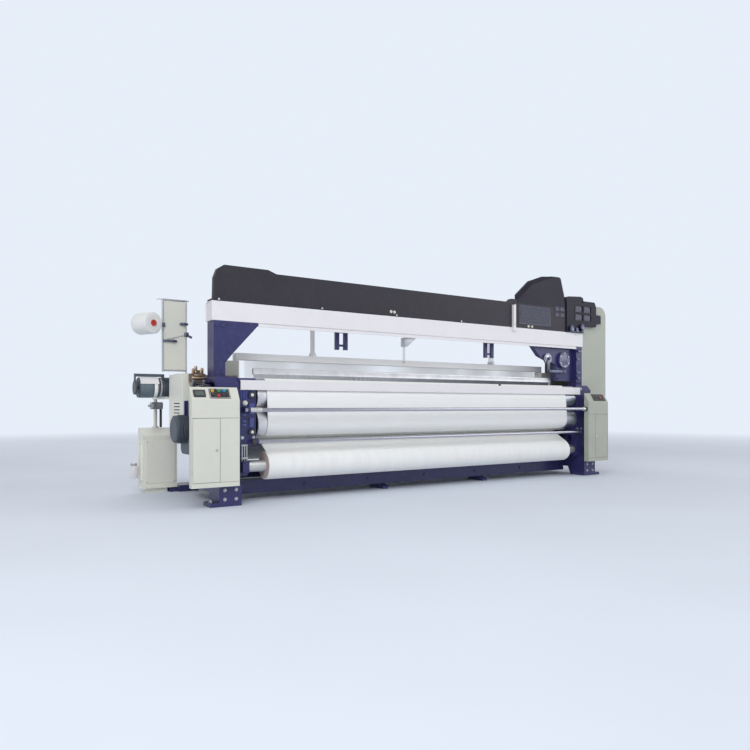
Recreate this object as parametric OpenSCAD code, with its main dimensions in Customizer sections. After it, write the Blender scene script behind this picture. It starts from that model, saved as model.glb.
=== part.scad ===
// Wide weaving machine with a jack-type shedding head on top and weft feed at the left side.
// X runs along the cloth width, the front is -Y, Z is up from the floor.
// Distances called "front" are measured forward from the loom's middle plane, those called "back" rearward.

/* [Side frames] */
// Clear distance between the inner faces of the side frames
frame_gap = 3980; // [3900:10:4100]
// Width of one side frame casting
side_w = 180; // [160:5:200]
// Front face of the side frames
frame_front = 638; // [636:1:642]
// Front of the toe at the foot
toe_front = 700; // [680:5:720]
// Back face of the side frames
frame_back = 560; // [550:5:600]
// Height of the side frames at the breast
frame_top = 1000; // [980:5:1010]
// Height of the side frames at the back rest
rest_top = 1060; // [1040:5:1090]
// Height of the foot block
foot_h = 160; // [140:5:164]
// Web thickness of the castings
web_t = 24; // [16:2:36]
// Rim and rib thickness of the castings
rim_t = 42; // [30:2:60]
// Radius of the anchor holes in the foot flanges
anchor_r = 11; // [8:1:14]
// Thickness of the foot flanges
flange_t = 30; // [20:2:40]
// Width of the foot flanges outside the castings
flange_w = 70; // [60:5:90]

/* [Lower beams] */
// Front face of the lower front beam
low_front = 404; // [380:4:410]
// Underside height of the lower front beam
low_z = 45; // [40:5:60]
// Height of the lower front beam
low_h = 113; // [100:1:120]
// Depth of the lower front beam
low_d = 150; // [120:5:170]
// Wall of the lower beams
low_wall = 10; // [6:1:14]
// Front face of the rear cross beam, ahead of the back of the side frames
rear_beam_in = 260; // [240:5:300]
// Depth and height of the rear cross beam
rear_beam = [120, 100];
// Places of the two middle feet along the beam
mid_foot_x = [-494, 739];
// Width of a middle foot
mid_foot_w = 60; // [40:5:80]

/* [Top beam] */
// Underside height of the top beam
beam_z = 1445; // [1400:5:1500]
// Height of the top beam
beam_h = 153; // [140:1:160]
// Front face of the top beam
beam_front = 531; // [520:1:540]
// Depth of the top beam
beam_d = 150; // [130:5:160]
// Wall of the top beam
beam_wall = 8; // [5:1:12]
// Height of the rail under the beam
rail_h = 30; // [24:1:36]
// Depth of the rail under the beam
rail_d = 28; // [20:1:40]
// Width of the columns under the beam
column_w = 95; // [80:5:110]
// Reach of the left gusset along the beam, and its drop down the column
gusset_reach = 278; // [260:2:290]
gusset_drop = 332; // [300:2:350]

/* [Top cover] */
// Depth of the long top cover
cover_d = 50; // [40:2:56]
// Wall of the covers
cover_t = 6; // [4:1:8]
// Height of the long part of the cover above the beam
cover_h = 262; // [240:2:280]
// Height of the raised left part above the beam
cover_high = 289; // [284:1:300]
// Right end of the raised left part
raised_x = -1696; // [-1760:4:-1660]
// Right end of the ramp up to the raised part beside the hood, and the height of that part
step_x = 1050; // [1030:2:1060]
step_h = 37; // [30:1:44]
// Right end of the long cover
cover_right = 1880; // [1866:2:1884]
// Left end of the cover, inside the beam end
cover_inset = 14; // [6:2:30]
// Place of the upright bar in front of the cover
post_x = 1072; // [1040:4:1100]
// Width of the upright bar
post_w = 30; // [24:2:40]

/* [Shedding head] */
// Left foot of the hood
hood_left = 1146; // [1140:2:1160]
// Right foot of the hood
hood_right = 1872; // [1862:1:1878]
// Height of the hood above the cover
hood_h = 339; // [330:1:350]
// Left side of the shedding head
head_left = 1888; // [1886:1:1896]
// Right side of the shedding head
head_right = 2386; // [2370:2:2400]
// Height of the shedding head above the beam
head_h = 417; // [410:1:430]
// Depth of the shedding head
head_d = 480; // [440:10:520]
// Lowest and highest edge of the duct of the pull rods
duct_z = [1796, 1846];
// How far the head stands forward of the beam
head_proud = 14; // [8:1:20]

/* [Side covers] */
// Outer side of the tall right cover
right_out = 2610; // [2560:5:2660]
// Underside of the tall right cover
right_low = 750; // [700:10:800]
// Top of the tall right cover
right_top = 1930; // [1900:5:1940]
// Corner radius of the tall right cover
right_corner = 110; // [80:5:140]
// Front face of the tall right cover
right_front = 500; // [480:2:500]
// Back face of the tall right cover, behind the middle plane
right_back = 40; // [0:10:100]
// Outer side of the left cover
left_out = 2328; // [2300:4:2340]
// Lowest and highest edge of the left cover
left_cover_z = [586, 1031];
// Front face of the left cover
left_cover_front = 300; // [270:5:305]
// Back face of the left cover, behind the middle plane
left_cover_back = 100; // [60:5:110]
// Number of louvres in the left cover
louvres = 6; // [4:1:10]

/* [Control boxes] */
// Front face of the control boxes
box_front = 794; // [790:1:800]
// Back face of the control boxes
box_back = 734; // [728:1:738]
// Underside of the control boxes
box_low = 165; // [165:1:180]
// Height of the front edge of the sloping top
box_edge = 814; // [806:1:818]
// Height of the back edge of the sloping top
box_top = 911; // [905:1:916]
// Outer side and inner side of the left box
left_box_x = [2409, 2042];
// Outer side and inner side of the right box
right_box_x = [2273, 1948];
// Sheet thickness of the boxes
box_wall = 4; // [3:1:5]
// Width of a box door
door_w = 202; // [180:2:210]
// Lowest and highest edge of the doors
door_z = [204, 676];
// Radius of a push button
button_r = 12; // [9:1:14]
// Travel of a push button
button_travel = 3; // [2:1:4]

/* [Rollers and cloth] */
// Width of the cloth
cloth_w = 3510; // [3480:10:3520]
// Thickness of cloth and warp
fabric_t = 2; // [1:0.5:3]
// Height of the warp line
warp_z = 992; // [990:1:996]
// Axis of the upper roller: front distance, height
upper_axis = [560, 842];
// Radius of the upper roller
upper_r = 85; // [78:1:86]
// Axis of the take-up roller: front distance, height
takeup_axis = [560, 628];
// Radius of the take-up roller
takeup_r = 100; // [95:1:101]
// Axis of the press roller: front distance, height
press_axis = [464, 532];
// Radius of the press roller
press_r = 30; // [25:1:32]
// Axis of the cloth roll: front distance, height
roll_axis = [589, 290];
// Radius of the wound cloth
roll_r = 113; // [100:1:118]
// Radius of the breast bar
breast_r = 28; // [22:1:30]
// Front distance of the breast bar
breast_front = 575; // [570:1:580]
// Journal radius of the rollers
journal_r = 22; // [16:1:26]
// Thickness of the right roller bracket
bracket_t = 60; // [45:5:70]
// Thickness of the left roller bracket at the upper rollers
bracket_left_t = 143; // [130:1:145]
// Thickness of the left roller bracket at the cloth roll
bracket_low_t = 74; // [60:2:80]
// Back face of the roller brackets
bracket_back = 425; // [420:1:428]

/* [Bars] */
// Radius of the upper front bar
upper_bar_r = 16; // [12:1:18]
// Axis of the upper front bar: front distance, height
upper_bar_axis = [760, 739];
// Radius of the lower front bar
lower_bar_r = 14; // [10:1:18]
// Axis of the lower front bar: front distance, height
lower_bar_axis = [687, 486];
// Left ends of the upper and the lower front bar
bar_left = [1987, 1872];
// Front face of the breast cover
breast_cover_front = 652; // [648:1:656]
// Lowest and highest edge of the breast cover
breast_cover_z = [897, 974];
// Gap between the ends of the breast cover and the side frames
breast_cover_gap = 10; // [5:1:30]

/* [Warp side] */
// Axis of the warp beam: back distance, height
beam_axis = [760, 560];
// Radius of the warp beam flanges
flange_r = 400; // [380:5:410]
// Radius of the wound warp
yarn_r = 330; // [280:5:350]
// Radius of the warp beam barrel
barrel_r = 110; // [90:5:130]
// Radius of the warp beam journals
beam_journal_r = 40; // [30:1:45]
// Place of the back rest behind the middle plane
rest_back = 480; // [470:5:490]
// Radius of the back rest roller
rest_r = 60; // [50:1:64]

/* [Sley and reed] */
// Axis of the rocking shaft: front distance, height
sley_axis = [300, 470];
// Radius of the rocking shaft
rocker_r = 40; // [32:1:44]
// Middle plane of the reed at rest
reed_front = 394; // [388:1:396]
// Underside and top of the sley beam
sley_beam_z = [880, 932];
// Depth of the sley beam
sley_beam_d = 72; // [60:2:76]
// Lowest and highest edge of the reed cap
reed_cap_z = [1036, 1086];
// Number of sley arms
sley_arms = 8; // [8:1:10]
// Pitch of the reed dents and heald wires
dent_pitch = 40; // [36:1:48]
// Width of one reed dent
dent_w = 5; // [3:0.5:6]
// Gap in the warp round a dent or wire
warp_slot = 10; // [9:0.5:14]

/* [Heald frames] */
// Number of heald frames
heald_count = 5;
// Front distance of the first heald frame
heald_front = 200; // [196:1:204]
// Pitch of the heald frames
heald_pitch = 18; // [16:1:20]
// Thickness of a heald frame
heald_t = 10; // [8:0.5:12]
// Height of a heald frame
heald_h = 460; // [440:5:480]
// Half width of a heald frame
heald_half = 1850; // [1830:5:1860]
// Height of the upper and lower rails of a heald frame
heald_rail = 58; // [45:1:64]
// Lift of a heald frame up or down
heald_lift = 45; // [40:1:50]
// Radius of a lifting rod
rod_r = 4; // [3:0.5:5]
// Place of the lifting rods each side of the middle
rod_x = 1100; // [1000:20:1300]
// Height of the lifting rods
rod_top = 1720; // [1680:10:1760]

/* [Weft side] */
// Post of the weft stand: outer rod, inner rod
stand_x = [2408, 2214];
// Lowest and highest edge of the stand plate
stand_z = [1060, 1664];
// Middle of the yarn package: side distance, height
package_mid = [2541, 1445];
// Radius of the yarn package
package_r = 88; // [76:1:90]
// Length of the yarn package
package_len = 178; // [160:2:184]
// Angle between the package's axis and the front-to-back direction
package_turn = 25.5; // [20:0.5:30]
// Axis of the weft feeder: back distance, height
feeder_axis = [206, 925];
// Outer end and inner end of the feeder's drive
feeder_motor = [2375, 2250];
// Length of the feeder drum
drum_len = 165; // [140:5:180]
// Radius of the feeder drum
drum_r = 84; // [74:1:90]
// Thickness of the feeder's winding disc
disc_t = 16; // [12:1:20]
// Side distance of the feeder post
feeder_post_x = 2320; // [2310:2:2330]
// Reach of the nozzle block outside the side frame
nozzle_reach = 119; // [100:1:130]
// Front distance of the weft nozzle
nozzle_front = 350; // [345:1:355]
// Foot of the handwheel spindle: side distance, front distance, height
wheel_foot = [2250, 500, 838];
// Radius of the handwheel
wheel_r = 76; // [66:1:80]
// Tilt of the handwheel towards the front
wheel_tilt = 25; // [15:1:35]
// Outer side of the floor cabinet
cabinet_out = 2461; // [2440:1:2480]
// Floor cabinet: nearest and farthest distance behind the middle plane
cabinet_back = [420, 620];
// Height of the floor cabinet
cabinet_h = 572; // [560:2:590]
// Motor axis: front distance, height
motor_axis = [430, 590];
// Radius of the motor body
motor_r = 112; // [100:1:112]
// Distance from the side frame to the motor's end
motor_len = 273; // [265:1:280]
// Lowest and highest edge of the motor's gear housing
gear_z = [395, 690];
// Plate of the motor along the side frame, and its height
motor_plate = [390, 240];

/* [Hidden] */
$fn = 48;

navy = [0.13, 0.13, 0.27];
black = [0.12, 0.11, 0.14];
cream = [0.86, 0.86, 0.82];
white = [0.93, 0.93, 0.92];
steel = [0.62, 0.65, 0.70];
dark = [0.25, 0.24, 0.27];
roller_blue = [0.50, 0.54, 0.60];

// Running gap round journals, gap between a fixed and a moving flat, and gap at a seat
run_gap = 0.05;
side_gap = 0.4;
seat_gap = 0.3;

frame_in = frame_gap / 2;
frame_out = frame_in + side_w;
bracket_in = frame_in - bracket_t;
bracket_left = frame_in - bracket_left_t;
bracket_low = frame_in - bracket_low_t;
beam_back_y = beam_d - beam_front;
beam_top = beam_z + beam_h;
cover_top = beam_top + cover_h;
cover_high_z = beam_top + cover_high;
cover_left = cover_inset - frame_out;
reach_front = box_front;
reach_back = beam_axis[0] + flange_r;
package_edge = 8;
package_out = package_mid[0] + (package_len / 2 - package_edge) * sin(package_turn)
    + package_r * cos(package_turn);
feeder_out = feeder_motor[0] + disc_t + 6 + drum_len + 30;
reach_left = max(package_out, feeder_out);
reach_right = right_out;
heald_z = warp_z + fabric_t / 2;
heald_last = heald_front - (heald_count - 1) * heald_pitch;
dents = 2 * floor(cloth_w / 2 / dent_pitch) - 1;
fell_front = reed_front + 82;
slope = atan2(box_top - box_edge, box_front - box_back);
rest_z = warp_z - rest_r - seat_gap;
arch_h = 90;
lug_z = [230, 640];
foot_len = 190;
column_out = frame_out - cover_inset;
column_in = column_out - column_w;
flange_len = 160;
hinge_u = 10;
pin_r = 1.5;
knuckle_r = 3.5;
press_journal_r = journal_r - 8;
recess_d = 4;
roller_end = 12;
roll_half = cloth_w / 2 + 4;
reed_t = 12;

// Gap between cloth or warp and what it runs over
fabric_gap = 0.5;
breast_z = warp_z - breast_r - fabric_gap;

// Places of the buttons on the panels: across, up the slope
left_box_w = left_box_x[0] - left_box_x[1];
right_box_w = right_box_x[0] - right_box_x[1];
start_place = [214, 76];
stop_place = [206, 34];
right_place = [110, 52];

// Extrudes an outline drawn in Y and Z along X
module along_x(from, to) {
    translate([from, 0, 0])
        rotate([90, 0, 90])
            linear_extrude(to - from)
                children();
}

// Extrudes an outline drawn in X and Z along Y
module along_y(from, to) {
    translate([0, to, 0])
        rotate([90, 0, 0])
            linear_extrude(to - from)
                children();
}

// Block between two opposite corners
module block(low, high) {
    translate(low)
        cube(high - low);
}

// Rectangle with round corners, drawn exactly with arcs
module round_rect(low, high, r) {
    translate(low + [r, 0])
        square([high[0] - low[0] - 2 * r, high[1] - low[1]]);
    translate(low + [0, r])
        square([high[0] - low[0], high[1] - low[1] - 2 * r]);
    for (x = [low[0] + r, high[0] - r], y = [low[1] + r, high[1] - r])
        translate([x, y])
            circle(r);
}

// Round bar along X
module rod_x(from, to, r, y, z) {
    translate([from, y, z])
        rotate([0, 90, 0])
            cylinder(h = to - from, r = r);
}

module both_sides() {
    children();
    mirror([1, 0, 0])
        children();
}

// Moves the loom's middle plane so that the origin lies under the middle of the whole machine
module placed() {
    translate([(reach_left - reach_right) / 2, (reach_front - reach_back) / 2, 0])
        children();
}

// Outline of a side frame in Y and Z
module frame_outline() {
    polygon([
        [-toe_front, 0], [-toe_front, foot_h], [-frame_front, foot_h],
        [-frame_front, frame_top - 50], [50 - frame_front, frame_top],
        [rest_back - 150, frame_top], [rest_back - 110, rest_top],
        [frame_back - 30, rest_top], [frame_back, rest_top - 40], [frame_back, 0],
        [frame_back - foot_len, 0], [frame_back - foot_len - 40, arch_h],
        [foot_len + 40 - toe_front, arch_h], [foot_len - toe_front, 0]
    ]);
}

// Pockets between the rim and the ribs, or the windows inside them when inset is larger than zero
module frame_bays(inset, first = 0) {
    bay = (frame_front + frame_back - 4 * rim_t) / 3;
    rows = [[arch_h + rim_t, frame_top * 0.52], [frame_top * 0.52 + rim_t, frame_top - rim_t]];
    for (i = [first:2], row = rows) {
        y = rim_t - frame_front + i * (bay + rim_t);
        round_rect([y + inset, row[0] + inset], [y + bay - inset, row[1] - inset], 30);
    }
}

module side_frame() {
    boss_r = journal_r + 26;
    color(navy)
        difference() {
            union() {
                difference() {
                    along_x(frame_in, frame_out)
                        frame_outline();
                    along_x(frame_in + web_t, frame_out + 1)
                        frame_bays(0);
                    along_x(frame_in - 1, frame_out)
                        intersection() {
                            frame_bays(45, 2);
                            translate([-frame_front, 0])
                                square([2 * frame_front + frame_back, rest_z - boss_r - 20]);
                        }
                }
                rod_x(frame_in, frame_out - 20, boss_r, rest_back, rest_z);
                for (y = [-toe_front, frame_back - flange_len])
                    block([frame_out, y, 0], [frame_out + flange_w, y + flange_len, flange_t]);
                for (z = lug_z)
                    block([frame_in + 70, -box_back, z], [frame_out - 10, -frame_front, z + 70]);
            }
            block([frame_in + web_t, 20, 60], [frame_out + 1, frame_back + 1, frame_top * 0.43]);
            rod_x(frame_in - 1, frame_out + 1, journal_r + run_gap, rest_back, rest_z);
            for (y = [flange_len / 2 - toe_front, frame_back - flange_len / 2])
                translate([frame_out + flange_w / 2, y, -1])
                    cylinder(h = flange_t + 2, r = anchor_r);
        }
}

module right_frame() {
    side_frame();
}

module left_frame() {
    mirror([1, 0, 0])
        side_frame();
}

// Channel beam across the machine, open to the back, with stiffening plates inside
module channel_beam(front, low, depth, height) {
    plates = 8;
    color(navy) {
        along_x(-frame_in, frame_in)
            difference() {
                translate([front, low])
                    square([depth, height]);
                translate([front + low_wall, low + low_wall])
                    square([depth, height - 2 * low_wall]);
            }
        for (i = [1:plates - 1]) {
            x = frame_gap * (i / plates - 0.5);
            block([x - low_wall / 2, front + low_wall, low + low_wall],
                [x + low_wall / 2, front + depth - low_wall, low + height - low_wall]);
        }
    }
}

module lower_front_beam() {
    channel_beam(-low_front, low_z, low_d, low_h);
}

module rear_cross_beam() {
    channel_beam(frame_back - rear_beam_in, arch_h + 5, rear_beam[0], rear_beam[1]);
}

// Hook-shaped feet that carry the middle of the lower front beam
module mid_feet() {
    toe = 60;
    color(navy)
        for (x = mid_foot_x)
            along_x(x - mid_foot_w / 2, x + mid_foot_w / 2)
                polygon([
                    [-low_front - toe, 0], [-low_front - toe, 22], [-low_front - toe + 14, 30],
                    [-low_front, low_z], [low_d - low_front, low_z], [low_d - low_front + 20, 22],
                    [low_d - low_front + 20, 0]
                ]);
}

// Channel columns with a foot plate and a head plate
module columns() {
    plate = 14;
    wall = 16;
    color(navy)
        both_sides() {
            for (z = [frame_top, beam_z - plate])
                block([column_in, -beam_front, z], [column_out, beam_back_y, z + plate]);
            translate([column_in, -beam_front, frame_top + plate])
                linear_extrude(beam_z - frame_top - 2 * plate)
                    difference() {
                        square([column_w, beam_d]);
                        translate([wall, wall])
                            square([column_w - 2 * wall, beam_d]);
                    }
        }
}

// Square tube with end caps let into its ends
module top_beam() {
    cap = 8;
    color(white) {
        along_x(-frame_out, frame_out)
            difference() {
                translate([-beam_front, beam_z])
                    square([beam_d, beam_h]);
                translate([beam_wall - beam_front, beam_z + beam_wall])
                    square([beam_d - 2 * beam_wall, beam_h - 2 * beam_wall]);
            }
        both_sides()
            block([frame_out - cap - 4, beam_wall - beam_front, beam_z + beam_wall],
                [frame_out - 4, beam_back_y - beam_wall, beam_top - beam_wall]);
    }
}

// Angle rail along the underside of the beam, with a shadow gap below the beam
module under_beam_rail() {
    leg = 4;
    wall = 12;
    shadow = 7;
    front = -beam_front;
    color(cream)
        along_x(gusset_reach + 3 - column_in, column_in)
            polygon([
                [front, beam_z - rail_h], [front, beam_z - shadow], [front + wall - leg, beam_z - shadow],
                [front + wall - leg, beam_z], [front + rail_d, beam_z], [front + rail_d, beam_z - leg],
                [front + wall, beam_z - leg], [front + wall, beam_z - rail_h]
            ]);
}

module left_gusset() {
    rib = 14;
    tip = 22;
    x = column_in - gusset_reach;
    z = beam_z - gusset_drop;
    color(navy)
        mirror([1, 0, 0])
            difference() {
                along_y(-beam_front, beam_back_y - 30)
                    polygon([
                        [column_in, beam_z], [x, beam_z], [x, beam_z - tip],
                        [column_in - 66, z + 79], [column_in, z]
                    ]);
                along_y(rib - beam_front, beam_back_y)
                    polygon([
                        [column_in - rib, beam_z - rib], [x + 40, beam_z - rib], [column_in - 66 - rib, z + 96],
                        [column_in - rib, z + 96]
                    ]);
            }
}

// Angled bracket casting at the right under the beam, with two covered pivots on its front
module linkage_housing() {
    front = rail_d + 3 - beam_front;
    pivots = [[column_in - 421, beam_z - 150, 70], [column_in - 169, beam_z - 160, 110]];
    low_in = cloth_w / 2 + 35;
    color(navy) {
        along_y(front + 24, beam_back_y - 40)
            polygon([
                [column_in, beam_z], [column_in - 666, beam_z], [column_in - 629, beam_z - 30],
                [column_in - 536, beam_z - 125], [low_in, beam_z - 215], [low_in, beam_z - 394],
                [column_in, beam_z - 394]
            ]);
    }
    for (p = pivots) {
        depth = p == pivots[0] ? 12 : 24;
        color(p == pivots[0] ? steel : dark)
            translate([p[0], front + 24, p[1]])
                rotate([90, 0, 0])
                    rotate_extrude()
                        polygon([
                            [0, 0], [p[2] * 0.82, 0], [p[2] * 0.82, depth - 4], [p[2] * 0.74, depth],
                            [p[2] * 0.5, depth], [p[2] * 0.42, depth - 6], [0, depth - 6]
                        ]);
    }
}

// Outline of the long cover in X and Z, drawn t inside its outer surface
function cover_profile(t) = [
    [cover_left + t, beam_top + t],
    [cover_left + 5 + t, beam_top + 185 - t / 2],
    [cover_left + 31 + t, beam_top + 254 - t / 2],
    [cover_left + 86 + t / 2, cover_high_z - t],
    [raised_x - t / 4, cover_high_z - t],
    [raised_x + 75 - t / 4, cover_top - t],
    [step_x - 46, cover_top - t],
    [step_x, cover_top + step_h - t],
    [hood_left - 8 - t, cover_top + step_h - t],
    [hood_left - 8 - t, cover_top - t],
    [cover_right - t, cover_top - t],
    [cover_right - t, beam_top + t]
];

// Long shallow pan over the beam, open to the back, with a plate over the beam's left end
module long_cover() {
    color(black) {
        difference() {
            along_y(-beam_front, cover_d - beam_front)
                polygon(cover_profile(0));
            along_y(cover_t - beam_front, cover_d + 1 - beam_front)
                polygon(cover_profile(cover_t));
        }
        block([cover_left, cover_d - cover_t - beam_front, beam_top],
            [cover_left + 400, beam_back_y, beam_top + 22]);
    }
}

// Upright channel bar in front of the cover
module cover_post() {
    wall = 4;
    color(white)
        translate([post_x - post_w / 2, -beam_front - post_w, beam_top - 38])
            linear_extrude(272)
                difference() {
                    square(post_w);
                    translate([wall, wall])
                        square([post_w - 2 * wall, post_w]);
                }
}

// Outline of the hood in X and Z, drawn t inside its outer surface
function hood_profile(t) = [
    [hood_left + t, cover_top + t],
    [hood_left + t, cover_top + 93 - t / 2],
    [hood_left + 189 + t / 2, cover_top + hood_h - 83 - t],
    [hood_left + 388 + t / 4, cover_top + hood_h - 14 - t],
    [hood_left + 522, cover_top + hood_h - 3 - t],
    [hood_right - 94, cover_top + hood_h - t],
    [hood_right - 68 - t / 2, cover_top + hood_h - 14 - t],
    [hood_right - 12 - t, cover_top + 141],
    [hood_right - t, cover_top + t]
];

// Wedge that bevels the front edge of the hood between two corners of its outline
module edge_bevel(from, to, t) {
    wide = 45;
    deep = 26;
    long = norm(to - from);
    n = norm([wide, deep]);
    translate([from[0], -beam_front, from[1]])
        rotate([0, -atan2(to[1] - from[1], to[0] - from[0]), 0])
            translate([0, t * wide / n, -t * deep / n])
                along_x(-0.5 * long, 1.5 * long)
                    polygon([[-2, -wide * (1 + 2 / deep)], [-2, 3 * wide], [4 * deep, 3 * wide]]);
}

module hood_shape(t, back) {
    outline = hood_profile(0);
    difference() {
        along_y(t - beam_front, back - beam_front)
            polygon(hood_profile(t));
        for (i = [1, 2])
            edge_bevel(outline[i], outline[i + 1], t);
    }
}

// Faceted hood, open to the back
module dobby_hood() {
    color(black)
        difference() {
            hood_shape(0, cover_d);
            hood_shape(cover_t, cover_d + 1);
        }
}

// Box over one group of pull rods, seated on the beam, open below round the lifting rods
module jack_box() {
    half = 100;
    back = -90;
    plate = 14;
    slot = [heald_front + 15, heald_last - 15];
    difference() {
        union() {
            block([rod_x - half, -240, beam_z + 115], [rod_x + half, back, duct_z[1] + 4]);
            block([rod_x - half, cover_d + 3 - beam_front, beam_top], [rod_x + half, -239, beam_top + plate]);
            for (x = [rod_x - half, rod_x + half - plate])
                along_x(x, x + plate)
                    polygon([
                        [beam_back_y - 60, beam_top + plate - 1], [-239, beam_top + plate - 1],
                        [-239, duct_z[0] - 60]
                    ]);
        }
        block([rod_x - 25, -slot[0], beam_z], [rod_x + 25, -slot[1], rod_top + heald_lift + 15]);
    }
}

// Cast box of the shedding head with ribbed window panes and a wing ahead of the tall side cover,
// the duct of its pull rods behind the long cover, and two jack boxes over the lifting rods
module dobby_head() {
    front = -beam_front - head_proud;
    wing_back = -right_front - 3;
    high = beam_top + head_h;
    top = high - 71;
    wing_top = high - 50;
    pane = [132, 80];
    rib = 14;
    low = [head_left + 134, beam_top + 138];
    color(black) {
        difference() {
            union() {
                block([head_left, front, beam_top], [frame_out - 4, front + head_d, top]);
                along_y(front + 10, front + head_d - 70)
                    polygon([
                        [head_left, top - 1], [head_left, high - 28], [head_left + 40, high - 14],
                        [head_left + 243, high], [frame_out + 1, high - 14], [frame_out + 8, wing_top],
                        [frame_out + 8, top - 1]
                    ]);
                along_y(front, wing_back)
                    polygon([
                        [frame_out - 5, beam_top + 84], [frame_out - 5, wing_top], [head_right - 28, wing_top],
                        [head_right - 14, wing_top - 25], [head_right, wing_top - 60],
                        [head_right, beam_top + 224], [head_right + 82, beam_top + 224],
                        [head_right + 82, beam_top + 125], [head_right, beam_top + 125],
                        [head_right, beam_top + 84]
                    ]);
            }
            for (i = [0:1], j = [0:1])
                along_y(front - 1, front + 12)
                    translate([i * (pane[0] + rib), j * (pane[1] + rib)])
                        round_rect(low, low + pane, 8);
        }
        block([-rod_x, -205, duct_z[0]], [head_left + 1, -125, duct_z[1]]);
        both_sides()
            jack_box();
    }
}

// Outline of the tall right cover in X and Z from x outwards, drawn t inside its outer surface
module right_cover_outline(x, t) {
    corner = [right_out - right_corner, right_top - right_corner];
    translate([x, right_low + t])
        square([right_out - t - x, corner[1] - right_low - t]);
    translate([x, right_low + t])
        square([corner[0] - x, right_top - right_low - 2 * t]);
    translate(corner)
        circle(right_corner - t, $fn = 96);
}

// Tall sheet cover of the drive at the right, open towards the side frame
module right_side_cover() {
    wall = 5;
    color(cream)
        difference() {
            along_y(-right_front, right_back)
                right_cover_outline(frame_out, 0);
            along_y(wall - right_front, right_back - wall)
                right_cover_outline(frame_out - 1, wall);
        }
}

// Louvred sheet cover over the left end of the main shaft
module left_side_cover() {
    wall = 4;
    front = -left_cover_front;
    back = left_cover_back;
    color(cream)
        difference() {
            block([-left_out, front, left_cover_z[0]], [-frame_out, back, left_cover_z[1]]);
            block([wall - left_out, front + wall, left_cover_z[0] + wall],
                [1 - frame_out, back - wall, left_cover_z[1] - wall]);
            for (i = [0:louvres - 1])
                block([-left_out - 1, front + 90, left_cover_z[0] + 70 + i * 26],
                    [wall + 1 - left_out, front + 260, left_cover_z[0] + 78 + i * 26]);
        }
}

// Places children on the sloping top of a box: x across, y up the slope, z out of the surface
module on_slope() {
    translate([0, -box_front, box_edge])
        rotate([slope, 0, 0])
            children();
}

// Outline of a control box in Y and Z, drawn t inside its outer surface
module box_outline(t) {
    polygon([
        [t - box_front, box_low + t], [t - box_front, box_edge - t * tan(45 - slope / 2)],
        [-box_back - t, box_top - t * (1 / cos(slope) + tan(slope))], [-box_back - t, box_low + t]
    ]);
}

// Places of the two door knuckles, each [low, high]
function knuckles() = [for (z = [door_z[0] + 60, door_z[1] - 120]) [z, z + 60]];

// Sheet box of width w, its outer side at x = 0, with a recessed door seat and two hinge pins
module control_box(w, holes) {
    right_edge = hinge_u + door_w + 1;
    difference() {
        union() {
            difference() {
                along_x(0, w)
                    box_outline(0);
                difference() {
                    along_x(box_wall, w - box_wall)
                        box_outline(box_wall);
                    block([0, -box_front, 0], [w, 2 * box_wall - box_front, box_edge]);
                }
                block([hinge_u - 6, -box_front - 1, door_z[0] - 1],
                    [right_edge, recess_d - box_front, door_z[1] + 1]);
                block([hinge_u + 12, -box_front, door_z[0] + 8],
                    [right_edge - 8, 3 * box_wall - box_front, door_z[1] - 8]);
                for (z = knuckles())
                    block([hinge_u - 4.5, -box_front, z[0] - seat_gap],
                        [hinge_u + 4.5, 2 * box_wall - box_front + 1, z[1] + seat_gap]);
            }
            for (z = knuckles())
                translate([hinge_u, recess_d - box_front, z[0] - 10])
                    cylinder(h = z[1] - z[0] + 20, r = pin_r);
        }
        on_slope()
            for (h = holes)
                translate([h[0], h[1], -20])
                    cylinder(h = 30, r = button_r + side_gap);
    }
}

// Door of a control box, closed, with its knuckles and a round lock
module box_door() {
    color(cream)
        difference() {
            union() {
                block([hinge_u + 1, -box_front, door_z[0]],
                    [hinge_u + door_w, recess_d - seat_gap - box_front, door_z[1]]);
                for (z = knuckles())
                    translate([hinge_u, recess_d - box_front, z[0]])
                        cylinder(h = z[1] - z[0], r = knuckle_r);
                translate([hinge_u + door_w - 22, recess_d - seat_gap - box_front, (door_z[0] + door_z[1]) / 2])
                    rotate([90, 0, 0])
                        cylinder(h = recess_d - seat_gap, r = 9);
            }
            for (z = knuckles())
                translate([hinge_u, recess_d - box_front, z[0] - 11])
                    cylinder(h = z[1] - z[0] + 22, r = pin_r + run_gap);
        }
}

module at_left_box() {
    translate([-left_box_x[0], 0, 0])
        children();
}

module at_right_box() {
    translate([right_box_x[0], 0, 0])
        mirror([1, 0, 0])
            children();
}

module left_box() {
    color(cream)
        at_left_box()
            control_box(left_box_w, [start_place, stop_place]);
}

module right_box() {
    color(cream)
        at_right_box()
            control_box(right_box_w, [right_place]);
}

module left_door() {
    at_left_box()
        box_door();
}

module right_door() {
    at_right_box()
        box_door();
}

// Plate on a sloping top between two corners, with holes for its buttons
module panel_plate(low, high, holes) {
    difference() {
        on_slope()
            linear_extrude(3)
                round_rect(low, high, 6);
        on_slope()
            for (h = holes)
                translate([h[0], h[1], -1])
                    cylinder(h = 6, r = button_r + side_gap);
    }
}

// Display plate and button plate with two indicator lamps
module left_panel() {
    lamps = [[166, 76], [258, 80]];
    at_left_box() {
        color(dark) {
            panel_plate([20, 24], [112, 88], []);
            difference() {
                panel_plate([140, 14], [300, 100], [start_place, stop_place]);
                on_slope()
                    for (l = lamps)
                        translate([l[0], l[1], -1])
                            cylinder(h = 6, r = 9);
            }
        }
        color(white)
            on_slope()
                for (l = lamps)
                    translate([l[0], l[1], 0])
                        cylinder(h = 8, r = 9);
    }
}

module right_panel() {
    color(dark)
        at_right_box()
            panel_plate([30, 14], [230, 100], [right_place]);
}

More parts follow.
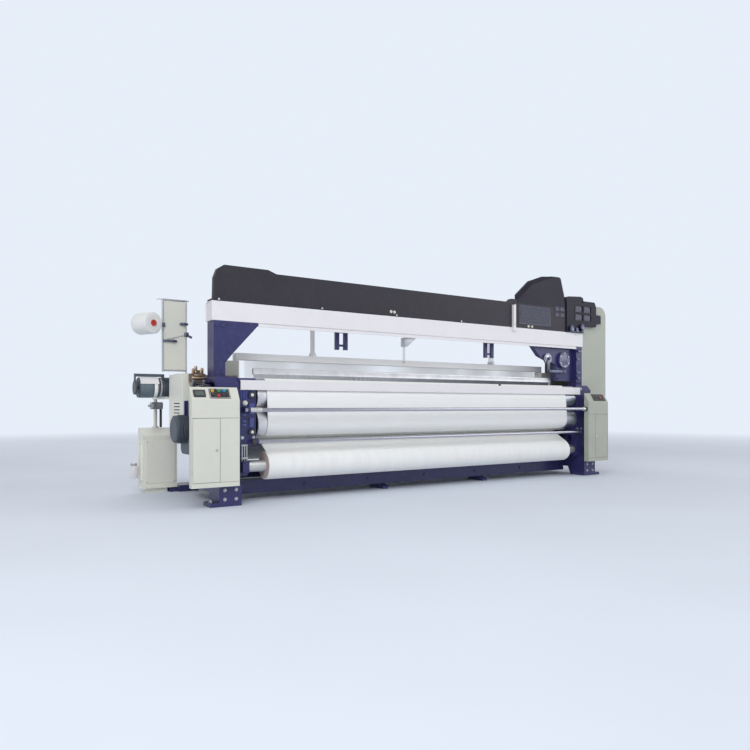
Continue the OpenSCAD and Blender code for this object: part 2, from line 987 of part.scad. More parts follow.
// Button that stands above the plate by its travel and a little more
module push_button(place) {
    h = 21 + button_travel;
    on_slope()
        translate([place[0], place[1], -12])
            rotate_extrude()
                polygon([[0, 0], [button_r - 2, 0], [button_r, 2], [button_r, h - 2], [button_r - 2, h], [0, h]]);
}

module start_button() {
    color([0.1, 0.55, 0.25])
        at_left_box()
            push_button(start_place);
}

module stop_button() {
    color([0.8, 0.12, 0.1])
        at_left_box()
            push_button(stop_place);
}

module right_button() {
    color([0.8, 0.12, 0.1])
        at_right_box()
            push_button(right_place);
}

// Finned power unit on the back wall inside the left box
module drive_unit() {
    fins = 9;
    w = 200;
    deep = 30;
    y = -box_back - box_wall;
    color(steel)
        at_left_box()
            difference() {
                block([60, y - deep, 260], [60 + w, y, 540]);
                for (i = [1:fins])
                    block([60 + i * w / (fins + 1) - 5, y - deep - 1, 250],
                        [60 + i * w / (fins + 1) + 5, y - deep / 2, 550]);
            }
}

// Shallow channel in front of the breast bar, seated on the roller brackets
module breast_cover() {
    sheet = 3;
    back = 2 - frame_front;
    color(white)
        along_x(breast_cover_gap - frame_in, frame_in - breast_cover_gap)
            difference() {
                translate([-breast_cover_front, breast_cover_z[0]])
                    square([breast_cover_front + back, breast_cover_z[1] - breast_cover_z[0]]);
                translate([sheet - breast_cover_front, breast_cover_z[0] + sheet])
                    square([breast_cover_front + back, breast_cover_z[1] - breast_cover_z[0] - 2 * sheet]);
            }
}

module breast_bar() {
    color(steel)
        rod_x(-bracket_left, bracket_in, breast_r, -breast_front, breast_z);
}

// Bright bars held by lugs of the roller brackets, the upper one running up to the right box
module front_bars() {
    ends = [right_box_x[1], bracket_in + 24];
    bars = [[upper_bar_axis, upper_bar_r], [lower_bar_axis, lower_bar_r]];
    color(steel)
        for (i = [0:1])
            rod_x(-bar_left[i], ends[i], bars[i][1], -bars[i][0][0], bars[i][0][1]);
}

// Lug around a front bar, reaching forward from a roller bracket
module bar_lug(from, axis, r) {
    along_x(from, from + 18)
        difference() {
            union() {
                translate([-axis[0], axis[1] - r - 8])
                    square([axis[0] - frame_front + 3, 2 * r + 16]);
                translate([-axis[0], axis[1]])
                    circle(r + 8);
            }
            translate([-axis[0], axis[1]])
                circle(r + run_gap);
        }
}

// One roller bracket: inner face at its upper and at its lower part, back face of the thick part
module roller_bracket(inner, low_inner) {
    seats = [
        [upper_axis, 44, journal_r, inner], [takeup_axis, 44, journal_r, inner],
        [press_axis, 26, press_journal_r, inner], [roll_axis, 44, journal_r, low_inner]
    ];
    front = 2 - frame_front;
    step_z = lower_bar_axis[1] - 36;
    difference() {
        union() {
            along_x(inner, frame_in)
                round_rect([front, step_z], [-bracket_back, warp_z], 24);
            along_x(low_inner, frame_in)
                difference() {
                    round_rect([front, roll_axis[1] - 75], [front + 156, step_z + 60], 24);
                    round_rect([front + 66, roll_axis[1] + 80], [front + 126, step_z - 10], 10);
                }
            for (s = seats)
                rod_x(s[3] - 8, s[3] + 1, s[1], -s[0][0], s[0][1]);
        }
        for (s = seats)
            rod_x(s[3] - 9, frame_in + 1, s[2] + run_gap, -s[0][0], s[0][1]);
    }
}

// Bearing plates of the four front rollers, with lugs for the front bars and two caps at the left
module roller_brackets() {
    cap_x = -1886;
    color(navy) {
        roller_bracket(bracket_in, bracket_in);
        bar_lug(bracket_in + 2, lower_bar_axis, lower_bar_r);
        mirror([1, 0, 0])
            roller_bracket(bracket_left, bracket_low);
        bar_lug(22 - bar_left[0], upper_bar_axis, upper_bar_r);
        bar_lug(6 - bar_left[1], lower_bar_axis, lower_bar_r);
        for (z = [857, 564])
            translate([cap_x, 2 - frame_front, z])
                rotate([90, 0, 0])
                    cylinder(h = 12, r = 28);
    }
}

// Pairs of guide bars that hang from the beam in front of the heald frames
module heald_guides() {
    place = 900;
    bar = [35, 30];
    low = 1280;
    back = -328;
    color(navy)
        both_sides() {
            block([place - 62, rail_d + 5 - beam_front, beam_z - 12], [place + 62, back, beam_z]);
            for (x = [place - 62, place + 62 - bar[0]])
                block([x, back - bar[1], low], [x + bar[0], back, beam_z - 12]);
            block([place - 62 + bar[0], back - bar[1] + 8, low + 30],
                [place + 62 - bar[0], back - 8, low + 50]);
        }
}

// Grooved blocks on the side frames in which the ends of the heald frames slide
module frame_combs() {
    color(cream)
        both_sides()
            difference() {
                block([heald_half - 15, -heald_front - 22, heald_z - 190],
                    [frame_in, 22 - heald_last, heald_z + 160]);
                for (i = [0:heald_count - 1])
                    let (y = i * heald_pitch - heald_front, gap = heald_t / 2 + side_gap)
                        block([heald_half - 16, y - gap, heald_z - 191], [heald_half + side_gap, y + gap, heald_z + 161]);
            }
}

// A belt path is a list of rollers [y, z, radius, side]; side 1 turns left, side -1 turns right, and
// radius 0 is a plain point. The face lies off to the left of the path's middle line.
function signed_r(c, off) = (c[2] == 0 ? 0 : c[3] * (c[2] + fabric_gap + fabric_t / 2)) - off;
function heading(a, b, off) =
    atan2(b[1] - a[1], b[0] - a[0])
    - asin((signed_r(b, off) - signed_r(a, off)) / norm([b[0] - a[0], b[1] - a[1]]));
function on_roller(c, off, h) = [c[0] + signed_r(c, off) * sin(h), c[1] - signed_r(c, off) * cos(h)];
function turned(from, to, side) = side > 0 ? (to - from + 720) % 360 : -((from - to + 720) % 360);
function wrap_points(c, off, from, to) =
    let (sweep = turned(from, to, c[3]), steps = max(1, ceil(abs(sweep) / 5)))
    [for (k = [0:steps]) on_roller(c, off, from + sweep * k / steps)];
function belt_face(path, off) =
    let (last = len(path) - 1)
    [
        on_roller(path[0], off, heading(path[0], path[1], off)),
        for (i = [1:last - 1])
            each wrap_points(path[i], off, heading(path[i - 1], path[i], off), heading(path[i], path[i + 1], off)),
        on_roller(path[last], off, heading(path[last - 1], path[last], off))
    ];
function backwards(points) = [for (i = [len(points) - 1:-1:0]) points[i]];

module belt(path, half) {
    along_x(-half, half)
        polygon([each belt_face(path, fabric_t / 2), each backwards(belt_face(path, -fabric_t / 2))]);
}

// Woven cloth from the reed over the breast bar and the front rollers down to the cloth roll
module cloth() {
    color(white)
        belt([
            [-fell_front, heald_z, 0, 1], [-breast_front, breast_z, breast_r, 1],
            [-upper_axis[0], upper_axis[1], upper_r, 1], [-takeup_axis[0], takeup_axis[1], takeup_r, 1],
            [-press_axis[0], press_axis[1], press_r, -1], [-roll_axis[0], roll_axis[1], roll_r, 1]
        ], cloth_w / 2);
}

// Warp from the beam over the back rest, parted into strips between heald wires and reed dents
module warp_sheet() {
    color(white)
        difference() {
            belt([
                [beam_axis[0], beam_axis[1], yarn_r, 1], [rest_back, rest_z, rest_r, 1],
                [-fell_front, heald_z, 0, 1]
            ], cloth_w / 2);
            for (k = [-(dents - 1) / 2:(dents - 1) / 2])
                block([k * dent_pitch - warp_slot / 2, -fell_front - 1, warp_z - 5],
                    [k * dent_pitch + warp_slot / 2, 40 - heald_last, warp_z + fabric_t + 5]);
        }
}

// Roller along X between left and right, with chamfered ends and journals
module roller(axis_y, axis_z, r, left, right, end_r, reach) {
    translate([0, axis_y, axis_z])
        rotate([0, 90, 0])
            rotate_extrude($fn = 96)
                polygon([
                    [0, -reach], [end_r, -reach], [end_r, left], [r - 5, left], [r, left + 5],
                    [r, right - 5], [r - 5, right], [end_r, right], [end_r, reach], [0, reach]
                ]);
}

// Roller between the front roller brackets
module front_roller(axis, r, end_r) {
    roller(-axis[0], axis[1], r, roller_end - bracket_left, bracket_in - roller_end, end_r, frame_in - 2);
}

module upper_roller() {
    color(roller_blue)
        front_roller(upper_axis, upper_r, journal_r);
}

module takeup_roller() {
    color(roller_blue)
        front_roller(takeup_axis, takeup_r, journal_r);
}

module press_roller() {
    color(cream)
        front_roller(press_axis, press_r, press_journal_r);
}

// Wound cloth on its core tube
module cloth_roll() {
    core_r = 47;
    left = roller_end - bracket_low;
    right = bracket_in - roller_end;
    color(white)
        translate([0, -roll_axis[0], roll_axis[1]])
            rotate([0, 90, 0])
                rotate_extrude($fn = 96)
                    polygon([
                        [0, 2 - frame_in], [journal_r, 2 - frame_in], [journal_r, left],
                        [core_r - 6, left], [core_r, left + 6], [core_r, -roll_half], [roll_r - 3, -roll_half],
                        [roll_r, 3 - roll_half], [roll_r, roll_half - 3], [roll_r - 3, roll_half],
                        [core_r, roll_half], [core_r, right - 6], [core_r - 6, right], [journal_r, right],
                        [journal_r, frame_in - 2], [0, frame_in - 2]
                    ]);
}

// Ribbed flanges on a barrel with journals
module warp_beam() {
    rim = 34;
    disc = 12;
    spokes = 12;
    inner = cloth_w / 2 + 16;
    color(steel) {
        translate([0, beam_axis[0], beam_axis[1]])
            rotate([0, 90, 0]) {
                rotate_extrude($fn = 96)
                    polygon([
                        [0, 3 - frame_in], [beam_journal_r, 3 - frame_in], [beam_journal_r, -inner - rim],
                        [barrel_r, -inner - rim], [barrel_r + 20, -inner - disc], [flange_r - 18, -inner - disc],
                        [flange_r - 14, -inner - rim], [flange_r, -inner - rim], [flange_r, -inner],
                        [barrel_r, -inner], [barrel_r, inner], [flange_r, inner], [flange_r, inner + rim],
                        [flange_r - 14, inner + rim], [flange_r - 18, inner + disc], [barrel_r + 20, inner + disc],
                        [barrel_r, inner + rim], [beam_journal_r, inner + rim], [beam_journal_r, frame_in - 3],
                        [0, frame_in - 3]
                    ]);
                for (side = [-1, 1], a = [0:360 / spokes:359])
                    rotate([0, 0, a])
                        translate([barrel_r - 4, -5, side > 0 ? inner + disc - 1 : -inner - rim + 6])
                            cube([flange_r - barrel_r - 8, 10, rim - disc - 5]);
            }
    }
}

module warp_yarn() {
    inner = cloth_w / 2 + 16;
    color(white)
        translate([0, beam_axis[0], beam_axis[1]])
            rotate([0, 90, 0])
                rotate_extrude($fn = 96)
                    polygon([[barrel_r, -inner], [yarn_r, -inner], [yarn_r, inner], [barrel_r, inner]]);
}

module back_rest() {
    color(roller_blue)
        roller(rest_back, rest_z, rest_r, roller_end - bracket_in, bracket_in - roller_end, journal_r,
            frame_out - 22);
}

// Arms that carry the warp beam behind the side frames
module beam_brackets() {
    t = 50;
    color(navy)
        both_sides()
            difference() {
                along_x(frame_in - t, frame_in)
                    difference() {
                        union() {
                            polygon([
                                [frame_back - 150, beam_axis[1] - 190], [frame_back - 150, beam_axis[1] + 150],
                                [beam_axis[0], beam_axis[1] + 85], [beam_axis[0], beam_axis[1] - 85],
                                [frame_back, beam_axis[1] - 190]
                            ]);
                            translate([beam_axis[0], beam_axis[1]])
                                circle(85, $fn = 96);
                        }
                        round_rect([frame_back - 20, beam_axis[1] - 60],
                            [beam_axis[0] - 95, beam_axis[1] + 50], 20);
                    }
                rod_x(frame_in - t - 1, frame_in + 1, beam_journal_r + run_gap, beam_axis[0], beam_axis[1]);
            }
}

module sley_bearings() {
    t = 40;
    color(navy)
        both_sides()
            difference() {
                along_x(frame_in - t, frame_in)
                    union() {
                        translate([-sley_axis[0], sley_axis[1]])
                            circle(rocker_r + 24, $fn = 96);
                        translate([-sley_axis[0] - rocker_r - 36, sley_axis[1] - rocker_r - 36])
                            square([2 * rocker_r + 72, rocker_r + 36]);
                    }
                rod_x(frame_in - t - 1, frame_in + 1, rocker_r + run_gap, -sley_axis[0], sley_axis[1]);
            }
}

// Rocking shaft, arms and grooved beam of the sley
module sley() {
    half = heald_half - 20;
    arm_t = 36;
    groove = 14;
    front = -reed_front - sley_beam_d / 2;
    color(steel) {
        rod_x(4 - frame_in, frame_in - 4, rocker_r, -sley_axis[0], sley_axis[1]);
        for (i = [0:sley_arms - 1]) {
            x = 2 * half * ((i + 0.5) / sley_arms - 0.5);
            along_x(x - arm_t / 2, x + arm_t / 2) {
                translate([-sley_axis[0], sley_axis[1]])
                    circle(rocker_r + 18, $fn = 96);
                polygon([
                    [-sley_axis[0] - rocker_r - 10, sley_axis[1]], [-sley_axis[0] + rocker_r + 10, sley_axis[1]],
                    [-reed_front + sley_beam_d / 2 - 6, sley_beam_z[0] + 4],
                    [-reed_front - sley_beam_d / 2 + 6, sley_beam_z[0] + 4]
                ]);
            }
        }
        along_x(-half, half)
            difference() {
                translate([front, sley_beam_z[0]])
                    square([sley_beam_d, sley_beam_z[1] - sley_beam_z[0]]);
                translate([-reed_front - reed_t / 2, sley_beam_z[1] - groove])
                    square([reed_t, groove + 1]);
            }
    }
}

// Wall with upright bars: outer half width and heights, window half width and heights
module grille(half, low, high, window, low_in, high_in, bar, front, t, bar_t) {
    along_y(front - t / 2, front + t / 2)
        difference() {
            translate([-half, low])
                square([2 * half, high - low]);
            translate([-window, low_in])
                square([2 * window, high_in - low_in]);
        }
    along_y(front - bar_t / 2, front + bar_t / 2)
        for (k = [-(dents - 1) / 2:(dents - 1) / 2])
            translate([k * dent_pitch - bar / 2, low_in - 2])
                square([bar, high_in - low_in + 4]);
}

// Reed with its cap rail, standing in the sley's groove
module reed() {
    half = cloth_w / 2 + 12;
    cap_d = 30;
    color(dark) {
        grille(half, sley_beam_z[1] - 14, reed_cap_z[0] + 4, half - 11, sley_beam_z[1] + 6, reed_cap_z[0],
            dent_w, -reed_front, reed_t, 8);
        along_x(-half - 8, half + 8)
            polygon([
                [-reed_front - cap_d / 2, reed_cap_z[0]], [-reed_front + cap_d / 2, reed_cap_z[0]],
                [-reed_front + cap_d / 2, reed_cap_z[1] - 8], [-reed_front + cap_d / 2 - 8, reed_cap_z[1]],
                [-reed_front - cap_d / 2 + 8, reed_cap_z[1]], [-reed_front - cap_d / 2, reed_cap_z[1] - 8]
            ]);
    }
}

// Heald frame i with its wires and two lifting rods, at the middle of its stroke
module heald_frame(i) {
    front = -heald_front + i * heald_pitch;
    low = heald_z - heald_h / 2;
    high = heald_z + heald_h / 2;
    color(steel) {
        grille(heald_half, low, high, heald_half - 30, low + heald_rail, high - heald_rail,
            warp_slot * 0.4, front, heald_t, 2);
        for (x = [-rod_x, rod_x]) {
            translate([x, front, high - 1])
                cylinder(h = rod_top - high + 1, r = rod_r);
            block([x - 16, front - heald_t / 2, high], [x + 16, front + heald_t / 2, high + 24]);
        }
    }
}

module heald_frame_1() {
    heald_frame(0);
}

module heald_frame_2() {
    heald_frame(1);
}

module heald_frame_3() {
    heald_frame(2);
}

module heald_frame_4() {
    heald_frame(3);
}

module heald_frame_5() {
    heald_frame(4);
}

// Motor with a fan cover and its gear housing, on a plate that spans the ribs of the left side frame
module motor() {
    plate = 15;
    gear_out = 180;
    end = motor_len;
    fins = 4;
    color(dark)
        translate([-frame_out, -motor_axis[0], motor_axis[1]]) {
            translate([-plate, -motor_plate[0] / 2, gear_z[0] - 55 - motor_axis[1]])
                cube([plate, motor_plate[0], motor_plate[1]]);
            along_x(-gear_out, 1 - plate)
                round_rect([-120, gear_z[0] - motor_axis[1]], [118, gear_z[1] - motor_axis[1]], 60);
            rotate([0, -90, 0])
                rotate_extrude($fn = 96)
                    polygon([
                        [0, gear_out - 1], [motor_r - 14, gear_out - 1], [motor_r - 14, gear_out + 6],
                        for (i = [0:fins - 1])
                            each [[motor_r, gear_out + 8 + i * 14], [motor_r, gear_out + 13 + i * 14],
                                [motor_r - 14, gear_out + 15 + i * 14], [motor_r - 14, gear_out + 20 + i * 14]],
                        [motor_r - 6, end - 26], [motor_r - 6, end - 8], [motor_r - 22, end], [0, end]
                    ]);
        }
}

// Sheet cabinet on a base plate and a plinth, with a sloping lid
module floor_cabinet() {
    out = -cabinet_out;
    inner = -frame_out;
    wall = 3;
    base = [40, 59];
    body = cabinet_h - 87;
    front = cabinet_back[0];
    back = cabinet_back[1];
    color(cream) {
        difference() {
            block([out, front, base[1]], [inner, back, body]);
            block([out + wall, front + wall, base[1] - 1], [inner + 1, back - wall, body - wall]);
        }
        block([out - 10, front - 10, base[0]], [inner, back, base[1]]);
        along_x(out - 4, inner)
            polygon([
                [front - 4, body], [front - 4, body + 26], [front + 140, cabinet_h], [back, cabinet_h],
                [back, body]
            ]);
    }
    color(dark)
        difference() {
            block([out + 20, front + 20, 0], [inner - flange_w - 12, back - 20, base[0]]);
            block([out + 50, front + 50, -1], [inner - flange_w - 42, back - 50, base[0] - 6]);
        }
}

// Places children at the yarn package: z runs along its axis towards the front
module at_package() {
    translate([-package_mid[0], -9, package_mid[1]])
        rotate([90, 0, package_turn])
            children();
}

// Rod frame with a sheet plate, and the arm and peg of the package behind it
module weft_stand() {
    r = 7;
    foot = left_cover_z[1];
    peg = 52;
    tip = [-package_mid[0] - (package_len / 2 + peg) * sin(package_turn),
        (package_len / 2 + peg) * cos(package_turn) - 9];
    color(steel) {
        translate([-stand_x[1], 0, foot])
            cylinder(h = stand_z[1] - foot, r = r);
        translate([-stand_x[1], 0, foot])
            cylinder(h = 10, r = 30);
        translate([-stand_x[0], 0, stand_z[0] - 5])
            cylinder(h = stand_z[1] - stand_z[0] + 5, r = r);
        for (z = [stand_z[0] + r, stand_z[1] - r])
            rod_x(-stand_x[0], -stand_x[1], r, 0, z);
        block([-stand_x[0] - 6, 5, package_mid[1] - 6], [6 - stand_x[0], tip[1] + 6, package_mid[1] + 6]);
        block([tip[0] - 6, tip[1] - 6, package_mid[1] - 6], [6 - stand_x[0], tip[1] + 6, package_mid[1] + 6]);
        at_package()
            translate([0, 0, -package_len / 2 - peg])
                cylinder(h = package_len + peg - 6, r = 20 - seat_gap);
    }
    color(cream)
        block([-stand_x[0] - r, 4, stand_z[0]], [r - stand_x[1], 8, stand_z[1]]);
}

// Wound yarn on a core
module yarn_package() {
    end = package_len / 2;
    color(white)
        at_package()
            rotate_extrude($fn = 96)
                polygon([
                    [20, -end], [package_r - package_edge, -end], [package_r, package_edge - end],
                    [package_r, end - package_edge], [package_r - package_edge, end], [20, end]
                ]);
}

// Post on the cabinet with an arm forward under the weft feeder
module feeder_post() {
    top = feeder_axis[1] - drum_r + 9;
    x = -feeder_post_x;
    back = cabinet_back[0] + 170;
    color(cream) {
        translate([x, back, cabinet_h])
            cylinder(h = top - 20 - cabinet_h, r = 16);
        translate([x, back, cabinet_h])
            cylinder(h = 12, r = 28);
        block([x - 24, feeder_axis[0] - 24, top - 20], [x + 24, back + 24, top]);
    }
}

// Weft feeder: ribbed drive, yarn drum on its shaft, end disc and guide arm
module feeder_body() {
    y = feeder_axis[0];
    z = feeder_axis[1];
    r = drum_r - 9;
    drum = [feeder_out - 30, feeder_out - 30 - drum_len];
    color(dark)
        translate([0, y, z])
            rotate([0, 90, 0])
                rotate_extrude($fn = 96)
                    polygon([
                        [0, -feeder_motor[0]], [r - 12, -feeder_motor[0]], [r, 12 - feeder_motor[0]],
                        for (i = [0:5])
                            each [[r, 20 + i * 14 - feeder_motor[0]], [r - 8, 22 + i * 14 - feeder_motor[0]],
                                [r - 8, 28 + i * 14 - feeder_motor[0]], [r, 30 + i * 14 - feeder_motor[0]]],
                        [r, -12 - feeder_motor[1]], [r - 12, -feeder_motor[1]], [0, -feeder_motor[1]]
                    ]);
    color(dark) {
        block([-feeder_post_x - 30, y - 22, z - r], [30 - feeder_post_x, y + 22, z - r + 12]);
        block([8 - feeder_out, y - 16, z + drum_r + 10], [30 - feeder_motor[0], y + 16, z + drum_r + 34]);
        block([-feeder_motor[0] + 10, y - 16, z + r - 14], [30 - feeder_motor[0], y + 16, z + drum_r + 12]);
        block([2 - feeder_out, y - 16, z + 18], [12 - feeder_out, y + 16, z + drum_r + 34]);
    }
    color(white) {
        rod_x(-drum[0], -drum[1], drum_r, y, z);
        rod_x(-drum[1], -feeder_motor[0] + 2, 10, y, z);
    }
    color(steel)
        rod_x(-feeder_out, 12 - feeder_out, 60, y, z);
    color(dark)
        rod_x(11 - feeder_out, 1 - drum[0], 12, y, z);
}

// Winding disc of the feeder, turning on the drum's shaft
module feeder_disc() {
    y = feeder_axis[0];
    z = feeder_axis[1];
    color(roller_blue)
        difference() {
            translate([0, y, z])
                rotate([0, 90, 0])
                    rotate_extrude($fn = 96)
                        polygon([
                            [10 + run_gap, -feeder_motor[0] - disc_t], [drum_r - 2, -feeder_motor[0] - disc_t],
                            [drum_r + 4, -feeder_motor[0] - disc_t + 5], [drum_r + 4, -feeder_motor[0] - 4],
                            [drum_r - 2, -feeder_motor[0] - side_gap], [10 + run_gap, -feeder_motor[0] - side_gap]
                        ]);
            rod_x(-feeder_motor[0] - disc_t - 1, 1 - feeder_motor[0], 4, y, z + drum_r - 12);
        }
}

// Weft nozzle block outside the left side frame with its tube over the frame
module nozzle_unit() {
    y = -nozzle_front;
    z = frame_top + 12;
    x = [-frame_out - nozzle_reach, -frame_out];
    color([0.45, 0.36, 0.30]) {
        block([x[0], y - 30, z - 52], [x[1], y + 30, z + 16]);
        block([x[0] + 30, y - 22, z + 16], [x[0] + 78, y + 22, z + 44]);
    }
    color(steel) {
        rod_x(x[1], 90 - frame_in, 8, y, z);
        rod_x(60 - frame_in, 92 - frame_in, 11, y, z);
        translate([x[0] + 54, y, z - 84])
            cylinder(h = 33, r = 9);
    }
}

// Bracket and spindle of the handwheel, fixed outside the left side frame
module wheel_post() {
    color(navy)
        block([-wheel_foot[0] - 26, -wheel_foot[1] - 30, wheel_foot[2] - 16],
            [-frame_in - web_t, -wheel_foot[1] + 30, wheel_foot[2]]);
    color(steel)
        translate([-wheel_foot[0], -wheel_foot[1], wheel_foot[2]])
            rotate([wheel_tilt, 0, 0]) {
                translate([0, 0, -6])
                    cylinder(h = 72, r = 14);
                cylinder(h = 100, r = 8);
                translate([0, 0, 90 + seat_gap])
                    cylinder(h = 6, r = 13);
            }
}

module handwheel() {
    rim = 9;
    color([0.06, 0.06, 0.07])
        translate([-wheel_foot[0], -wheel_foot[1], wheel_foot[2]])
            rotate([wheel_tilt, 0, 0])
                difference() {
                    union() {
                        translate([0, 0, 82])
                            rotate_extrude($fn = 96)
                                translate([wheel_r - rim, 0])
                                    circle(rim);
                        translate([0, 0, 66 + seat_gap])
                            cylinder(h = 24 - seat_gap, r = 18);
                        for (a = [0:90:359])
                            rotate([0, 0, a])
                                translate([10, 0, 80])
                                    rotate([0, 90, 0])
                                        cylinder(h = wheel_r - rim - 12, r = 5);
                    }
                    translate([0, 0, 60])
                        cylinder(h = 40, r = 8 + run_gap);
                }
}

placed() {
    left_frame();
    right_frame();
    lower_front_beam();
    mid_feet();
    rear_cross_beam();
    columns();
    top_beam();
    under_beam_rail();
    left_gusset();
    linkage_housing();
    long_cover();
    cover_post();
    dobby_hood();
    dobby_head();
    right_side_cover();
    left_side_cover();
    left_box();
    right_box();
    left_panel();
    right_panel();
    drive_unit();
    breast_cover();
    breast_bar();
    front_bars();
    roller_brackets();
    heald_guides();
    frame_combs();
    cloth();
    warp_sheet();
    motor();
    floor_cabinet();
    weft_stand();
    yarn_package();
    feeder_post();
    feeder_body();
    nozzle_unit();
    beam_brackets();
    sley_bearings();
    wheel_post();
    upper_roller();
    takeup_roller();
    press_roller();
    cloth_roll();
    warp_beam();
    warp_yarn();
    back_rest();
    sley();
    reed();
    heald_frame_1();
    heald_frame_2();
    heald_frame_3();
    heald_frame_4();
    heald_frame_5();
    handwheel();
    feeder_disc();
    left_door();
    right_door();
    start_button();
    stop_button();
    right_button();
}
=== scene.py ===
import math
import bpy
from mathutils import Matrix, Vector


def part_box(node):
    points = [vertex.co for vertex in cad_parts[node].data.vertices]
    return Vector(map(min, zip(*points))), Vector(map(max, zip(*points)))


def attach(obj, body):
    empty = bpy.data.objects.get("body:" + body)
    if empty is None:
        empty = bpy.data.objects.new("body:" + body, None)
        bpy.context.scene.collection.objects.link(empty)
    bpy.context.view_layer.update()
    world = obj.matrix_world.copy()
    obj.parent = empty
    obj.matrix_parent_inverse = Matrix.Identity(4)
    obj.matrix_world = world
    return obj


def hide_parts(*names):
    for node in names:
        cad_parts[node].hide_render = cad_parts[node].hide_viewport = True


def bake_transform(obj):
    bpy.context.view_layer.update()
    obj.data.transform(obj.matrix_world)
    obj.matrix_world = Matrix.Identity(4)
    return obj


bl_info = {
    "name": "Power loom dressing",
    "version": (1, 0, 0),
    "blender": (4, 5, 0),
    "location": "View3D > Sidebar > Loom",
    "description": "Finishes, yarns, cloth, fittings and stage for a wide power loom",
    "category": "Object",
}

import bmesh
import bpy
from bpy.props import FloatProperty, FloatVectorProperty, PointerProperty
from bpy.types import Operator, Panel, PropertyGroup
from mathutils import Matrix, Vector

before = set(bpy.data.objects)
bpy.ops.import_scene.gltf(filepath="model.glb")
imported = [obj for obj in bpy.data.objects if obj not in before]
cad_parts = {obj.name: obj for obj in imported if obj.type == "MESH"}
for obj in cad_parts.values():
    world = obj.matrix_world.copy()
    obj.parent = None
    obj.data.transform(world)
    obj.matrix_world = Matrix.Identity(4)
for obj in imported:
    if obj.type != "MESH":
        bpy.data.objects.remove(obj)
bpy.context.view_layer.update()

# Front face of the long cover, the top beam and the columns: y from the middle plane
COVER_Y = -0.531

# The loom's own middle planes: places here are measured from them and from the floor
BEAM_LOW, BEAM_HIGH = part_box("top_beam")
MID_X = (BEAM_LOW.x + BEAM_HIGH.x) / 2
MID_Y = BEAM_LOW.y - COVER_Y


def at(x, y, z):
    """The place in the scene of a point measured from the loom's middle planes and the floor."""
    return Vector((x + MID_X, y + MID_Y, z))


# Front faces of the shedding head, the control boxes and the roller brackets
HEAD_Y = -0.545
BOX_Y = -0.794
BRACKET_Y = -0.636

# Gap between a fitting and the face that it stands on
SKIN = 0.0002

# Rollers on the way of the warp and the cloth: y and z of the axis, and the radius
WARP_BEAM = (0.760, 0.560, 0.330)
BACK_REST = (0.480, 0.9317, 0.060)
BREAST_BAR = (-0.575, 0.9635, 0.028)
UPPER_ROLLER = (-0.560, 0.842, 0.085)
TAKEUP_ROLLER = (-0.560, 0.628, 0.100)
PRESS_ROLLER = (-0.464, 0.532, 0.030)
CLOTH_ROLL = (-0.589, 0.290, 0.113)

# Closed warp: its height, its ends at the cloth and at the back rest, and half its width
WARP_Z = 0.993
FELL = -0.476
WARP_BACK = 0.478
WARP_HALF = 1.7545

# Width of the cloth
CLOTH_W = 3.51

# Heald frames: how many, the middle of the first, their pitch, half their width, x of the lifting rods
HEALDS = 5
HEALD_Y = -0.2
HEALD_PITCH = 0.018
HEALD_HALF = 1.85
LIFT_X = 1.1

# Wires of one heald frame: how many, their pitch, x of the first, and its step from frame to frame
WIRES = 351
WIRE_PITCH = 0.010
WIRE_X = -1.754
WIRE_SHIFT = 0.002


def heald_y(i):
    """Middle of heald frame i, counted from the front."""
    return HEALD_Y + HEALD_PITCH * i


def wire_x(i):
    """First wire of heald frame i: the frames share the warp out between them."""
    return WIRE_X + WIRE_SHIFT * i


# Sizes and colours


class LoomColours(PropertyGroup):
    cream: FloatVectorProperty(name="Cream", description="Paint of the left box and the left cover",
                               default=(0.69, 0.69, 0.61), subtype="COLOR")
    navy: FloatVectorProperty(name="Navy", description="Paint of the castings",
                              default=(0.028, 0.028, 0.125), subtype="COLOR")
    black: FloatVectorProperty(name="Black", description="Paint of the long cover",
                               default=(0.034, 0.031, 0.040), subtype="COLOR")
    white: FloatVectorProperty(name="White", description="Paint of the top beam and the breast cover",
                               default=(0.80, 0.78, 0.79), subtype="COLOR")
    cloth: FloatVectorProperty(name="Cloth", description="Colour of the woven cloth",
                               default=(0.88, 0.88, 0.86), subtype="COLOR")
    yarn: FloatVectorProperty(name="Yarn", description="Colour of warp and weft yarn",
                              default=(0.84, 0.84, 0.82), subtype="COLOR")
    steel: FloatVectorProperty(name="Steel", description="Colour of bright steel",
                               default=(0.60, 0.62, 0.66), subtype="COLOR")
    roller: FloatVectorProperty(name="Roller", description="Colour of the roller surfaces",
                                default=(0.46, 0.49, 0.56), subtype="COLOR")


class LoomSizes(PropertyGroup):
    yarn_pitch: FloatProperty(name="Yarn pitch", description="Distance between two warp yarns",
                              default=0.004, min=0.002, unit="LENGTH")
    yarn_width: FloatProperty(name="Yarn width", description="Width of a warp yarn",
                              default=0.0016, min=0.0005, unit="LENGTH")
    dent_pitch: FloatProperty(name="Dent pitch", description="Distance between two reed dents",
                              default=0.008, min=0.004, unit="LENGTH")
    bolt_r: FloatProperty(name="Bolt radius", description="Radius of a large bolt head",
                          default=0.016, min=0.004, unit="LENGTH")


class StageSettings(PropertyGroup):
    eye: FloatVectorProperty(name="Camera place", description="Where the camera stands",
                             default=(-3.8243, -5.677, 0.770), subtype="TRANSLATION", unit="LENGTH")
    yaw: FloatProperty(name="Camera heading", description="Heading of the camera to the right of +Y",
                       default=math.radians(32.76), subtype="ANGLE")
    lens: FloatProperty(name="Lens", description="Focal length", default=31.2, unit="CAMERA")
    rise: FloatProperty(name="Shift", description="Vertical shift of the picture", default=0.0413)
    key: FloatProperty(name="Key light", description="Power of the key light", default=330.0, unit="POWER")


# Modelling helpers


def clear():
    """Leaves edit mode and selects nothing."""
    if bpy.context.object and bpy.context.object.mode != "OBJECT":
        bpy.ops.object.mode_set(mode="OBJECT")
    bpy.ops.object.select_all(action="DESELECT")


